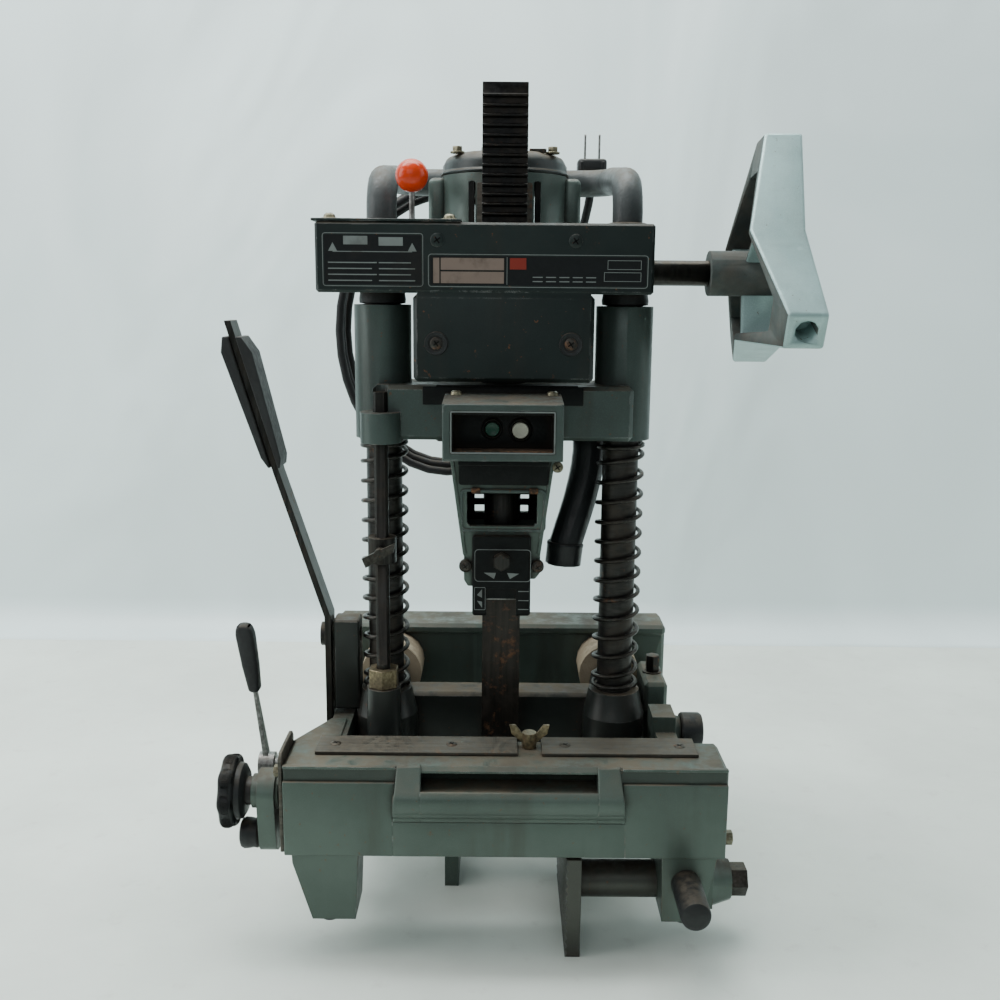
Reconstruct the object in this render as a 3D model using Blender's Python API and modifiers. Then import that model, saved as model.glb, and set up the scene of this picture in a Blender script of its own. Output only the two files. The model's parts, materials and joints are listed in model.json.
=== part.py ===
# Hollow chisel mortiser: a head with motor, rack and square hollow chisel slides on two
# columns over a base that clamps the timber between two hanging jaws.
# Metres, +X to the operator's right, +Y to the back, +Z up. The origin is on the floor,
# below the plane of the two columns and midway between them.

import math

import bmesh
import bpy
from mathutils import Matrix, Vector

# Driving sizes of the whole machine.
fit_gap = 0.0003          # between pieces that seat on each other
run_gap = 0.0005          # between a sliding or turning piece and its bearing
overrun = 0.004           # how far a cut runs past a face, and a joined piece into its carrier
round_sides = 20
small_sides = 10
half_width = 0.2155       # from the middle to the tips of the handwheel
half_depth = 0.1600       # from the columns to the front bumper's end

column_x = 0.093
column_radius = 0.014
spindle_y = 0.0
motor_y = 0.070

base_top = 0.152
base_under = 0.082
foot_level = 0.031
rail_left = -0.158
rail_right = 0.166
rail_front = -0.115
rail_back = -0.065
web_left = -0.135
web_right = 0.138
web_wall = 0.016
rear_front = 0.104
rear_back = 0.143
rear_top = 0.192
ledge_top = 0.096

bridge_under = 0.488
bridge_top = 0.538
bridge_front = -0.050
bridge_back = 0.017
bridge_left = -0.136
bridge_right = 0.108
bridge_skin = 0.006

head_under = 0.379
head_top = 0.420
head_front = -0.035
sleeve_radius = 0.022
sleeve_top = 0.479

feed_axis_y = -0.0235
feed_axis_z = 0.504
tooth_module = 0.00225
pinion_teeth = 14

# Materials, one for each finish.
finishes = {}


def finish(name, colour, roughness, metallic):
    material = bpy.data.materials.new(name)
    material.use_nodes = True
    shader = material.node_tree.nodes["Principled BSDF"]
    shader.inputs["Base Color"].default_value = (*colour, 1.0)
    shader.inputs["Roughness"].default_value = roughness
    shader.inputs["Metallic"].default_value = metallic
    material.diffuse_color = (*colour, 1.0)
    finishes[name] = material


def make_finishes():
    finish("grey_green_paint", (0.20, 0.26, 0.245), 0.45, 0.3)
    finish("blue_grey_paint", (0.23, 0.32, 0.34), 0.42, 0.35)
    finish("dark_steel", (0.075, 0.07, 0.065), 0.45, 0.8)
    finish("rusty_steel", (0.17, 0.10, 0.06), 0.75, 0.5)
    finish("bright_steel", (0.45, 0.44, 0.41), 0.35, 0.9)
    finish("brass_screw", (0.42, 0.34, 0.16), 0.4, 0.9)
    finish("black_plastic", (0.018, 0.018, 0.02), 0.5, 0.0)
    finish("dark_tube", (0.085, 0.09, 0.092), 0.5, 0.2)
    finish("cream_plastic", (0.48, 0.38, 0.24), 0.6, 0.0)
    finish("red_plastic", (0.72, 0.07, 0.015), 0.2, 0.0)
    finish("green_plastic", (0.03, 0.13, 0.07), 0.4, 0.0)
    finish("white_plastic", (0.60, 0.58, 0.50), 0.4, 0.0)
    finish("copper_wire", (0.45, 0.18, 0.07), 0.4, 0.9)
    finish("cord_rubber", (0.02, 0.02, 0.021), 0.65, 0.0)


# Shape helpers. Every shape is placed by its object's location.
parts = bpy.data.collections.new("hollow_chisel_mortiser")
cutters = bpy.data.collections.new("cutters")
merge_distance = 0.00001
smooth_angle = math.radians(35.0)


def place_mesh(name, mesh, place):
    shape = bpy.data.objects.new(name, mesh)
    shape.location = place
    cutters.objects.link(shape)
    return shape


def from_bmesh(name, build, place):
    bmesh.ops.recalc_face_normals(build, faces=build.faces)
    mesh = bpy.data.meshes.new(name)
    build.to_mesh(mesh)
    build.free()
    return place_mesh(name, mesh, place)


def block(low, high, edge=0.0, edge_axis=None, segments=1):
    """A box between two corners. edge rounds all edges, or only those along one axis."""
    low, high = Vector(low), Vector(high)
    build = bmesh.new()
    bmesh.ops.create_cube(build, size=1.0)
    bmesh.ops.scale(build, vec=high - low, verts=build.verts)
    if edge > 0.0:
        chosen = build.edges[:]
        if edge_axis is not None:
            chosen = []
            for line in build.edges:
                run = line.verts[0].co - line.verts[1].co
                if abs(run["XYZ".index(edge_axis)]) > 0.5 * run.length:
                    chosen.append(line)
        bmesh.ops.bevel(build, geom=chosen, offset=edge, segments=segments, profile=0.5,
                        affect="EDGES", material=-1)
    return from_bmesh("block", build, (low + high) / 2)


def rod(start, end, radius, end_radius=None, sides=round_sides):
    """A cylinder or a cone from one point to another."""
    start, end = Vector(start), Vector(end)
    run = end - start
    build = bmesh.new()
    bmesh.ops.create_cone(build, cap_ends=True, segments=sides, radius1=radius,
                          radius2=radius if end_radius is None else end_radius,
                          depth=run.length)
    turn = Vector((0.0, 0.0, 1.0)).rotation_difference(run.normalized()).to_matrix()
    bmesh.ops.rotate(build, matrix=turn, verts=build.verts)
    return from_bmesh("rod", build, (start + end) / 2)


def evaluated_mesh(shape):
    graph = bpy.context.evaluated_depsgraph_get()
    graph.update()
    mesh = bpy.data.meshes.new_from_object(shape.evaluated_get(graph))
    build = bmesh.new()
    build.from_mesh(mesh)
    bmesh.ops.remove_doubles(build, verts=build.verts, dist=merge_distance)
    build.to_mesh(mesh)
    build.free()
    return mesh


def curve_to_mesh(shape):
    mesh = evaluated_mesh(shape)
    build = bmesh.new()
    build.from_mesh(mesh)
    bmesh.ops.recalc_face_normals(build, faces=build.faces)
    build.to_mesh(mesh)
    build.free()
    solid = place_mesh(shape.name, mesh, (0.0, 0.0, 0.0))
    solid.matrix_world = shape.matrix_world
    curve = shape.data
    bpy.data.objects.remove(shape, do_unlink=True)
    bpy.data.curves.remove(curve)
    return solid


# For each axis that a flat outline is pushed along: the matrix from the outline's plane.
outline_turns = {
    "X": Matrix(((0, 0, 1), (1, 0, 0), (0, 1, 0))),
    "Y": Matrix(((1, 0, 0), (0, 0, -1), (0, 1, 0))),
    "Z": Matrix.Identity(3),
}


def plate(outline, axis, low, high, place=(0.0, 0.0, 0.0)):
    """A flat outline pushed along an axis. It is given in (Y, Z), (X, Z) or (X, Y)."""
    curve = bpy.data.curves.new("plate", "CURVE")
    curve.dimensions = "2D"
    curve.fill_mode = "BOTH"
    curve.extrude = (high - low) / 2
    spline = curve.splines.new("POLY")
    spline.points.add(len(outline) - 1)
    for point, (across, up) in zip(spline.points, outline):
        point.co = (across, up, 0.0, 1.0)
    spline.use_cyclic_u = True
    shape = bpy.data.objects.new("plate", curve)
    cutters.objects.link(shape)
    solid = curve_to_mesh(shape)
    turn = outline_turns[axis].to_4x4()
    solid.data.transform(turn)
    middle = Vector(place)
    middle["XYZ".index(axis)] += (low + high) / 2
    solid.location = middle
    return solid


def circle_points(centre, radius, start, end, count):
    """Points of an arc, angles in degrees, both ends included."""
    points = []
    for step in range(count):
        angle = math.radians(start + (end - start) * step / (count - 1))
        points.append((centre[0] + radius * math.cos(angle), centre[1] + radius * math.sin(angle)))
    return points


def turned(profile, place, axis="Z", sides=round_sides):
    """A turned shape. The profile holds (radius, height), top to bottom on the outer side."""
    build = bmesh.new()
    points = [build.verts.new((radius, 0.0, height)) for radius, height in profile]
    for first, second in zip(points, points[1:]):
        build.edges.new((first, second))
    mesh = bpy.data.meshes.new("turned")
    build.to_mesh(mesh)
    build.free()
    shape = place_mesh("turned", mesh, (0.0, 0.0, 0.0))
    screw = shape.modifiers.new("turn", "SCREW")
    screw.steps = sides
    screw.render_steps = sides
    screw.use_merge_vertices = True
    screw.merge_threshold = merge_distance
    solid_mesh = evaluated_mesh(shape)
    bpy.data.objects.remove(shape, do_unlink=True)
    build = bmesh.new()
    build.from_mesh(solid_mesh)
    bmesh.ops.recalc_face_normals(build, faces=build.faces)
    build.to_mesh(solid_mesh)
    build.free()
    if axis == "X":
        solid_mesh.transform(Matrix.Rotation(math.radians(90.0), 4, "Y"))
    if axis == "Y":
        solid_mesh.transform(Matrix.Rotation(math.radians(-90.0), 4, "X"))
    return place_mesh("turned", solid_mesh, place)


def tube(points, radius, resolution=2):
    """A round bar or cord through a list of points."""
    curve = bpy.data.curves.new("tube", "CURVE")
    curve.dimensions = "3D"
    curve.bevel_depth = radius
    curve.bevel_resolution = resolution
    curve.use_fill_caps = True
    curve.resolution_u = 1
    curve.render_resolution_u = 0
    spline = curve.splines.new("POLY")
    spline.points.add(len(points) - 1)
    for point, place in zip(spline.points, points):
        point.co = (*place, 1.0)
    shape = bpy.data.objects.new("tube", curve)
    cutters.objects.link(shape)
    return curve_to_mesh(shape)


def smooth_path(route, count):
    """Evenly spread points on one smooth curve through the route's own points."""
    route = [Vector(point) for point in route]
    ends = [2 * route[0] - route[1], *route, 2 * route[-1] - route[-2]]
    fine_steps = 16
    fine = [route[0]]
    for before, first, second, after in zip(ends, ends[1:], ends[2:], ends[3:]):
        for step in range(1, fine_steps + 1):
            t = step / fine_steps
            fine.append(0.5 * (2 * first + (second - before) * t
                               + (2 * before - 5 * first + 4 * second - after) * t ** 2
                               + (3 * first - before - 3 * second + after) * t ** 3))
    lengths = [0.0]
    for first, second in zip(fine, fine[1:]):
        lengths.append(lengths[-1] + (second - first).length)
    points = []
    index = 0
    for step in range(count):
        wanted = lengths[-1] * step / (count - 1)
        while index < len(fine) - 2 and lengths[index + 1] < wanted:
            index += 1
        share = (wanted - lengths[index]) / (lengths[index + 1] - lengths[index])
        points.append(fine[index].lerp(fine[index + 1], share))
    return points


def combine(shape, others, operation):
    """Joins or cuts a shape with others, which are used up."""
    for other in others:
        other.hide_render = True
        other.display_type = "WIRE"
        step = shape.modifiers.new(operation.lower(), "BOOLEAN")
        step.operation = operation
        step.solver = "EXACT"
        step.object = other
    mesh = evaluated_mesh(shape)
    shape.modifiers.clear()
    shape.data = mesh
    for other in others:
        bpy.data.objects.remove(other, do_unlink=True)
    return shape


def join(shape, *others):
    return combine(shape, others, "UNION")


def cut(shape, *others):
    return combine(shape, others, "DIFFERENCE")


# Each moving body has an empty on its joint's axis, which carries its pieces.
carriers = {}
carrier_places = {}
carrier_size = 0.03


def carrier(name, place, parent=None):
    empty = bpy.data.objects.new(name + "_axis", None)
    empty.empty_display_size = carrier_size
    parts.objects.link(empty)
    if parent is None:
        empty.location = place
    else:
        empty.parent = carriers[parent]
        empty.location = Vector(place) - carrier_places[parent]
    carriers[name] = empty
    carrier_places[name] = Vector(place)


def piece(name, shape, material, body):
    """Names a finished solid, gives it its finish and hangs it on its body."""
    cutters.objects.unlink(shape)
    parts.objects.link(shape)
    shape.name = name
    shape.data.name = name
    shape.data.materials.clear()
    shape.data.materials.append(finishes[material])
    for face in shape.data.polygons:
        face.material_index = 0
    shape.data.shade_smooth()
    shape.data.set_sharp_from_angle(angle=smooth_angle)
    shape.parent = carriers[body]
    shape.location = shape.location - carrier_places[body]
    return shape


def gear_outline(teeth, module, first_tooth):
    """A wheel's outline with slim teeth; first_tooth is the angle of one tooth's middle."""
    tip_share, root_share = 0.80, 1.15
    root_width_share, tip_width_share = 0.21, 0.09
    pitch_radius = module * teeth / 2
    root = pitch_radius - root_share * module
    tip = pitch_radius + tip_share * module
    pitch = 360.0 / teeth
    points = []
    for tooth in range(teeth):
        middle = first_tooth + tooth * pitch
        for radius, offset in ((root, -root_width_share), (tip, -tip_width_share),
                               (tip, tip_width_share), (root, root_width_share)):
            angle = math.radians(middle + offset * pitch)
            points.append((radius * math.cos(angle), radius * math.sin(angle)))
    return points


# Base: front rail with carry handle, legs, side webs, ledges and rear rail.
rail_wall = 0.012
rail_back_wall = 0.008
rail_skin = 0.008
leg_inner_left = -0.103
leg_inner_right = 0.119
leg_depth = 0.040
shank_leg_depth = 0.060
leg_overlap = 0.020
rear_leg_width = 0.030
web_low = 0.088
web_top = 0.150
ledge_width = 0.020
ledge_low = 0.086
grip_left, grip_right = -0.077, 0.090
grip_radius = 0.009
grip_y, grip_z = -0.117, 0.123
pocket_left, pocket_right = -0.058, 0.071
pocket_low, pocket_high = 0.111, 0.1475
pocket_back = -0.093
pocket_wall = 0.004
rear_half = 0.150
rear_lip = 0.004
rear_lip_height = 0.010
guide_z = 0.158
guide_x = 0.096
guide_radius = 0.0125
guide_sleeve_radius = 0.0265
guide_sleeve_front = 0.066
casting_round = 0.003
step_left = 0.1195

# Jaws and their screws, which the base carries.
crank_y, crank_z = -0.090, 0.121
lead_radius = 0.007
shank_y, shank_z = -0.076, 0.044
shank_radius = 0.014
jaw_screw_radius = 0.007
shank_boss_end = 0.178
shank_boss_radius = 0.0215
shank_bore_end = 0.161
arm_low, arm_high = 0.083, 0.095
arm_left, arm_right = -0.098, -0.086
jaw_travel_left = 0.020

# Bumpers, wear strips, lever stud and the front wing screw.
front_bumper_x, front_bumper_z, front_bumper_radius = 0.138, 0.062, 0.011
side_bumper_y, side_bumper_z, side_bumper_radius = -0.030, 0.147, 0.014
side_bumper_end = 0.161
side_boss_end = 0.143
side_boss_high = 0.163
stud_z, stud_radius = 0.115, 0.0035
lever_x_outer, lever_x_inner = -0.1415, -0.1365
clamp_axis_y, clamp_axis_z, clamp_shaft_radius = -0.024, 0.112, 0.006
strip_thickness = 0.0025
strip_front = -0.095
strip_left_end, strip_gap_left = -0.137, 0.013
strip_gap_right, strip_right_end = 0.031, 0.147
wing_screw_x, wing_screw_y, wing_screw_radius = 0.022, -0.078, 0.0035
shoulder_back = -0.024
step_front, step_back, step_top = 0.004, 0.062, 0.173


def leg(outline, front, back):
    return plate(outline, "Y", front, back)


def make_base():
    shape = block((rail_left, rail_front, base_under), (rail_right, rail_back, base_top),
                  casting_round)
    channel = block((rail_left + rail_wall, rail_front + rail_wall, base_under - overrun),
                    (rail_right - rail_wall, rail_back - rail_back_wall, base_top - rail_skin))
    shape = cut(shape, channel)
    pocket_shell = block((pocket_left - pocket_wall, rail_front + overrun,
                          pocket_low - pocket_wall),
                         (pocket_right + pocket_wall, pocket_back + pocket_wall,
                          base_top - overrun))
    shape = join(shape, pocket_shell)
    shape = cut(shape, block((pocket_left, rail_front - overrun, pocket_low),
                             (pocket_right, pocket_back, pocket_high)))
    left_leg = [(rail_left + 0.25 * leg_overlap, base_under + leg_overlap),
                (rail_left + 0.3 * leg_overlap, base_under - 0.3 * leg_overlap),
                (rail_left + leg_overlap, foot_level),
                (leg_inner_left - 0.15 * leg_overlap, foot_level),
                (leg_inner_left, base_under + leg_overlap)]
    right_leg = [(rail_right - 0.2 * leg_overlap, base_under + leg_overlap),
                 (rail_right - 0.25 * leg_overlap, base_under + 0.2 * leg_overlap),
                 (rail_right - 0.8 * leg_overlap, foot_level),
                 (leg_inner_right + 0.1 * leg_overlap, foot_level),
                 (leg_inner_right, base_under + leg_overlap)]
    left_leg.reverse()
    rear_left = [(web_left, ledge_top), (web_left, foot_level),
                 (web_left + rear_leg_width, foot_level), (web_left + rear_leg_width, ledge_top)]
    rear_right = [(web_right, ledge_top), (web_right - rear_leg_width, ledge_top),
                  (web_right - rear_leg_width, foot_level), (web_right, foot_level)]
    rear_in = rear_front + rear_lip
    shape = join(
        shape,
        leg(left_leg, rail_front + fit_gap, rail_front + leg_depth),
        leg(right_leg, rail_front + fit_gap, rail_front + shank_leg_depth),
        rod((grip_left, grip_y, grip_z), (grip_right, grip_y, grip_z), grip_radius),
        block((web_left, rail_back - overrun, web_low), (web_left + web_wall, rear_in + overrun,
                                                        web_top)),
        block((web_right - web_wall, rail_back - overrun, web_low),
              (web_right, rear_in + overrun, web_top + fit_gap)),
    )
    rear_body = block((-rear_half, rear_front, base_under),
                      (rear_half, rear_back, rear_top - 0.5 * rear_lip_height), casting_round)
    rear_cap = block((-rear_half, rear_front - rear_lip, rear_top - rear_lip_height),
                     (rear_half, rear_back + fit_gap, rear_top), casting_round)
    shape = join(
        shape, rear_body, rear_cap,
        leg(rear_left, rear_in, rear_back - overrun),
        leg(rear_right, rear_in, rear_back - overrun),
        block((web_left + web_wall - overrun, rail_back - overrun, ledge_low),
              (web_left + web_wall + ledge_width, rear_in + overrun, ledge_top)),
        block((web_right - web_wall - ledge_width, rail_back - overrun, ledge_low),
              (web_right - web_wall + overrun, rear_in + overrun, ledge_top)),
    )
    shoulder = plate([(rail_left, rail_back - overrun), (web_left + web_wall - overrun,
                                                        rail_back - overrun),
                      (web_left + web_wall - overrun, shoulder_back), (web_left, shoulder_back)],
                     "Z", base_top - rail_skin + fit_gap, base_top - fit_gap)
    step_block = block((step_left, step_front, web_top - overrun),
                       (web_right + fit_gap, step_back, step_top), casting_round)
    side_pad = block((step_left, side_bumper_y - side_bumper_radius, web_top - overrun),
                     (web_right - fit_gap, side_bumper_y + side_bumper_radius, side_boss_high))
    side_cone = rod((web_right - overrun, side_bumper_y, side_bumper_z),
                    (side_boss_end, side_bumper_y, side_bumper_z),
                    side_bumper_radius, 0.75 * side_bumper_radius)
    shank_boss = rod((rail_right - 2 * overrun, shank_y, shank_z),
                     (shank_boss_end, shank_y, shank_z), shank_boss_radius,
                     0.7 * shank_boss_radius)
    leg_boss = block((shank_bore_end - 2 * overrun, shank_y - shank_boss_radius,
                      shank_z - 0.6 * shank_boss_radius),
                     (rail_right - overrun, shank_y + 0.9 * shank_boss_radius, base_under))
    stud = rod((web_left + overrun, spindle_y, stud_z),
               (lever_x_outer - 0.3 * overrun, spindle_y, stud_z), stud_radius,
               sides=small_sides)
    shape = join(shape, shoulder, step_block, side_pad, side_cone, leg_boss, shank_boss, stud)
    bores = [
        rod((leg_inner_right - 2 * overrun, shank_y, shank_z),
            (shank_bore_end, shank_y, shank_z), shank_radius + run_gap),
        rod((shank_bore_end - overrun, shank_y, shank_z),
            (shank_boss_end + overrun, shank_y, shank_z), jaw_screw_radius + run_gap),
        rod((rail_left - overrun, crank_y, crank_z),
            (rail_left + rail_wall + overrun, crank_y, crank_z), lead_radius + run_gap),
        rod((web_left - overrun, clamp_axis_y, clamp_axis_z),
            (web_left + web_wall + overrun, clamp_axis_y, clamp_axis_z),
            clamp_shaft_radius + run_gap, sides=small_sides),
        rod((wing_screw_x, wing_screw_y, base_top - rail_skin - overrun),
            (wing_screw_x, wing_screw_y, base_top + overrun), wing_screw_radius + run_gap,
            sides=small_sides),
        block((arm_left - run_gap - overrun, rail_back - rail_back_wall - overrun,
               base_under - overrun),
              (arm_right + jaw_travel_left + overrun, rail_back + overrun, arm_high + run_gap)),
    ]
    for side in (-1, 1):
        bores.append(rod((side * guide_x, rear_front - overrun, guide_z),
                         (side * guide_x, rear_back + overrun, guide_z), guide_radius + run_gap))
        bores.append(rod((side * guide_x, guide_sleeve_front - 2 * overrun, guide_z),
                         (side * guide_x, rear_front, guide_z), guide_sleeve_radius + run_gap))
    return piece("base_frame", cut(shape, *bores), "grey_green_paint", "base")


def make_base_fittings():
    strip_low = base_top + fit_gap
    strip_high = strip_low + strip_thickness
    left = block((strip_left_end, strip_front, strip_low), (strip_gap_left, rail_back, strip_high))
    right = block((strip_gap_right, strip_front, strip_low),
                  (strip_right_end, rail_back, strip_high))
    piece("wear_strip_left", left, "rusty_steel", "base")
    piece("wear_strip_right", right, "rusty_steel", "base")
    for side, name in ((-1, "guide_sleeve_left"), (1, "guide_sleeve_right")):
        sleeve = rod((side * guide_x, guide_sleeve_front, guide_z),
                     (side * guide_x, rear_front - fit_gap, guide_z), guide_sleeve_radius)
        sleeve = cut(sleeve, rod((side * guide_x, guide_sleeve_front - overrun, guide_z),
                                 (side * guide_x, rear_front + overrun, guide_z),
                                 guide_radius + run_gap))
        piece(name, sleeve, "cream_plastic", "base")
    bumper = rod((front_bumper_x, rail_front, front_bumper_z),
                 (front_bumper_x, -half_depth, front_bumper_z), front_bumper_radius)
    piece("front_bumper", bumper, "black_plastic", "base")
    cap = turned([(0.0, side_bumper_end - side_boss_end),
                  (0.8 * side_bumper_radius, side_bumper_end - side_boss_end),
                  (side_bumper_radius, 0.85 * (side_bumper_end - side_boss_end)),
                  (side_bumper_radius, fit_gap), (0.0, fit_gap)],
                 (side_boss_end, side_bumper_y, side_bumper_z), "X")
    piece("side_bumper", cap, "black_plastic", "base")


# Left jaw on the lead screw, crank and lock knob.
jaw_thickness = 0.0115
left_jaw_face = -0.0335
left_jaw_front, left_jaw_back = -0.015, 0.062
arm_front = -0.100
arm_depth, arm_run_width = 0.020, 0.018
nut_radius = 0.0105
crank_out, crank_in = -0.184, -0.164
crank_face_out, crank_face_in = -0.179, -0.166
crank_throw = 0.034
crank_hub_radius, crank_end_radius = 0.017, 0.0125
crank_grip_radius = 0.01175
crank_grip_end = -0.1945
grip_pin_radius = 0.004
knob_out, knob_in = -0.2065, -0.195
knob_radius, knob_hub_radius = 0.0275, 0.0105
knob_lobes = 8
lead_tip = -0.066
lead_out = -0.197


def make_left_jaw():
    shape = block((left_jaw_face - jaw_thickness, left_jaw_front, 0.0),
                  (left_jaw_face, left_jaw_back, arm_high - fit_gap))
    gusset = plate([(left_jaw_face - 0.5 * jaw_thickness, 0.4 * arm_low),
                    (left_jaw_face - 0.5 * jaw_thickness, arm_high - 2 * fit_gap),
                    (left_jaw_face - 3.2 * jaw_thickness, arm_high - 2 * fit_gap)],
                   "Y", left_jaw_front + 0.5 * jaw_thickness, left_jaw_front + jaw_thickness)
    leg_down = block((arm_left, arm_front, arm_low), (arm_right, arm_front + arm_depth,
                                                     crank_z - 0.5 * nut_radius))
    run_back = block((arm_left + fit_gap, arm_front + fit_gap, arm_low + fit_gap),
                     (arm_right - fit_gap, left_jaw_front + arm_depth, arm_high))
    run_across = block((arm_left + 2 * fit_gap, left_jaw_front + 2 * fit_gap,
                        arm_low + 2 * fit_gap),
                       (left_jaw_face - 0.5 * jaw_thickness, left_jaw_front + arm_run_width,
                        arm_high + fit_gap))
    nut = rod((arm_left + fit_gap, crank_y, crank_z), (arm_right - fit_gap, crank_y, crank_z),
              nut_radius)
    shape = join(shape, gusset, leg_down, run_back, run_across, nut)
    bore = rod((arm_left - overrun, crank_y, crank_z), (arm_right + overrun, crank_y, crank_z),
               lead_radius + run_gap)
    piece("left_jaw", cut(shape, bore), "grey_green_paint", "left_jaw")


def make_crank():
    screw = rod((lead_out, crank_y, crank_z), (lead_tip, crank_y, crank_z), lead_radius)
    piece("lead_screw", screw, "dark_steel", "crank")
    low_z = crank_z - crank_throw
    outline = circle_points((crank_y, crank_z), crank_hub_radius, 0.0, 180.0, 11)
    outline += circle_points((crank_y, low_z), crank_end_radius, 180.0, 360.0, 11)
    arm = plate(outline, "X", crank_face_out, crank_face_in)
    hub = rod((crank_out, crank_y, crank_z), (crank_in, crank_y, crank_z),
              0.75 * crank_hub_radius)
    pin = rod((crank_grip_end + overrun, crank_y, low_z), (crank_face_in - overrun, crank_y, low_z),
              grip_pin_radius, sides=small_sides)
    arm = join(arm, hub, pin)
    bore = rod((crank_out - overrun, crank_y, crank_z), (crank_in + overrun, crank_y, crank_z),
               lead_radius + fit_gap)
    piece("crank_arm", cut(arm, bore), "grey_green_paint", "crank")
    handle = turned([(0.0, crank_face_out - fit_gap - crank_grip_end),
                     (0.8 * crank_grip_radius, crank_face_out - fit_gap - crank_grip_end),
                     (crank_grip_radius, 0.9 * (crank_face_out - crank_grip_end)),
                     (crank_grip_radius, 0.1 * (crank_face_out - crank_grip_end)),
                     (0.8 * crank_grip_radius, 0.0), (0.0, 0.0)],
                    (crank_grip_end, crank_y, low_z), "X")
    handle = cut(handle, rod((crank_grip_end - overrun, crank_y, low_z),
                             (crank_face_out + overrun, crank_y, low_z),
                             grip_pin_radius + run_gap, sides=small_sides))
    piece("crank_grip", handle, "black_plastic", "crank_grip")


def make_lock_knob():
    outline = []
    per_lobe = 4
    lobe_depth_share = 0.07
    for step in range(knob_lobes * per_lobe):
        angle = 2 * math.pi * step / (knob_lobes * per_lobe)
        radius = knob_radius * (1 - lobe_depth_share + lobe_depth_share * math.cos(
            knob_lobes * angle))
        outline.append((crank_y + radius * math.cos(angle), crank_z + radius * math.sin(angle)))
    shape = plate(outline, "X", knob_out, knob_in)
    hub = rod((knob_in - overrun, crank_y, crank_z), (crank_out - fit_gap, crank_y, crank_z),
              knob_hub_radius)
    shape = join(shape, hub)
    bore = rod((lead_out - fit_gap, crank_y, crank_z), (crank_out + overrun, crank_y, crank_z),
               lead_radius + run_gap)
    piece("lock_knob", cut(shape, bore), "black_plastic", "lock_knob")


# Right jaw with its shank, and the screw that moves it.
right_jaw_face = 0.0496
right_jaw_front, right_jaw_back = -0.113, 0.030
right_jaw_flat_back = 0.005
right_jaw_top = 0.079
jaw_teeth = 13
jaw_tooth_depth = 0.0016
shank_end = 0.135
shank_bore_start = 0.066
screw_head_in, screw_head_out, screw_head_radius = 0.1785, 0.191, 0.0125
hex_sides = 6


def make_right_jaw():
    pitch = right_jaw_top / jaw_teeth
    outline = [(right_jaw_face + jaw_thickness, 0.0),
               (right_jaw_face + jaw_thickness, right_jaw_top)]
    for tooth in range(jaw_teeth):
        outline.append((right_jaw_face, right_jaw_top - tooth * pitch))
        outline.append((right_jaw_face + jaw_tooth_depth, right_jaw_top - (tooth + 0.5) * pitch))
    outline.append((right_jaw_face, 0.0))
    shape = plate(outline, "Y", right_jaw_front, right_jaw_back)
    slope = plate([(right_jaw_flat_back, -overrun), (right_jaw_back + overrun, -overrun),
                   (right_jaw_back + overrun, 0.55 * right_jaw_top),
                   (right_jaw_back, 0.5 * right_jaw_top), (right_jaw_flat_back, 0.0)],
                  "X", right_jaw_face - overrun, right_jaw_face + jaw_thickness + overrun)
    shape = cut(shape, slope)
    shank = rod((right_jaw_face + 0.5 * jaw_thickness, shank_y, shank_z),
                (shank_end, shank_y, shank_z), shank_radius)
    shape = join(shape, shank)
    bore = rod((shank_bore_start, shank_y, shank_z), (shank_end + overrun, shank_y, shank_z),
               jaw_screw_radius + run_gap)
    piece("right_jaw", cut(shape, bore), "grey_green_paint", "right_jaw")
    screw = rod((shank_bore_start + jaw_travel_left, shank_y, shank_z),
                (screw_head_in + overrun, shank_y, shank_z), jaw_screw_radius)
    head = rod((screw_head_in, shank_y, shank_z), (screw_head_out, shank_y, shank_z),
               screw_head_radius, sides=hex_sides)
    piece("jaw_screw", join(head, screw), "bright_steel", "jaw_screw")


# Front wing screw and the clamp lever.
wing_low, wing_high = 0.1555, 0.170
wing_reach, wing_thickness, wing_hub_radius = 0.015, 0.003, 0.0055
clamp_bar_in, clamp_bar_out = -0.1895, -0.1855
clamp_top_z, clamp_grip_low = 0.229, 0.176
clamp_bar_half, clamp_grip_half = 0.0045, 0.0062
clamp_lean = 0.015
lever_collar_radius = 0.010


def wing_blade(place, reach, height, thickness):
    """Two wings in (X, Z) round a hub that stands on place."""
    outline = [(-reach, height), (-0.9 * reach, 0.55 * height), (-0.3 * reach, 0.0),
               (0.3 * reach, 0.0), (0.9 * reach, 0.55 * height), (reach, height),
               (0.7 * reach, height), (0.3 * reach, 0.45 * height),
               (-0.3 * reach, 0.45 * height), (-0.7 * reach, height)]
    return plate(outline, "Y", -thickness / 2, thickness / 2, place)


def make_wing_screw():
    height = wing_high - wing_low
    shape = rod((wing_screw_x, wing_screw_y, base_top - rail_skin),
                (wing_screw_x, wing_screw_y, wing_low + 0.5 * height), wing_screw_radius,
                sides=small_sides)
    hub = rod((wing_screw_x, wing_screw_y, base_top + fit_gap),
              (wing_screw_x, wing_screw_y, wing_low + 0.6 * height), wing_hub_radius,
              sides=small_sides)
    blade = wing_blade((wing_screw_x, wing_screw_y, wing_low), wing_reach, height, wing_thickness)
    piece("front_wing_screw", join(hub, shape, blade), "brass_screw", "front_wing_screw")


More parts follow.
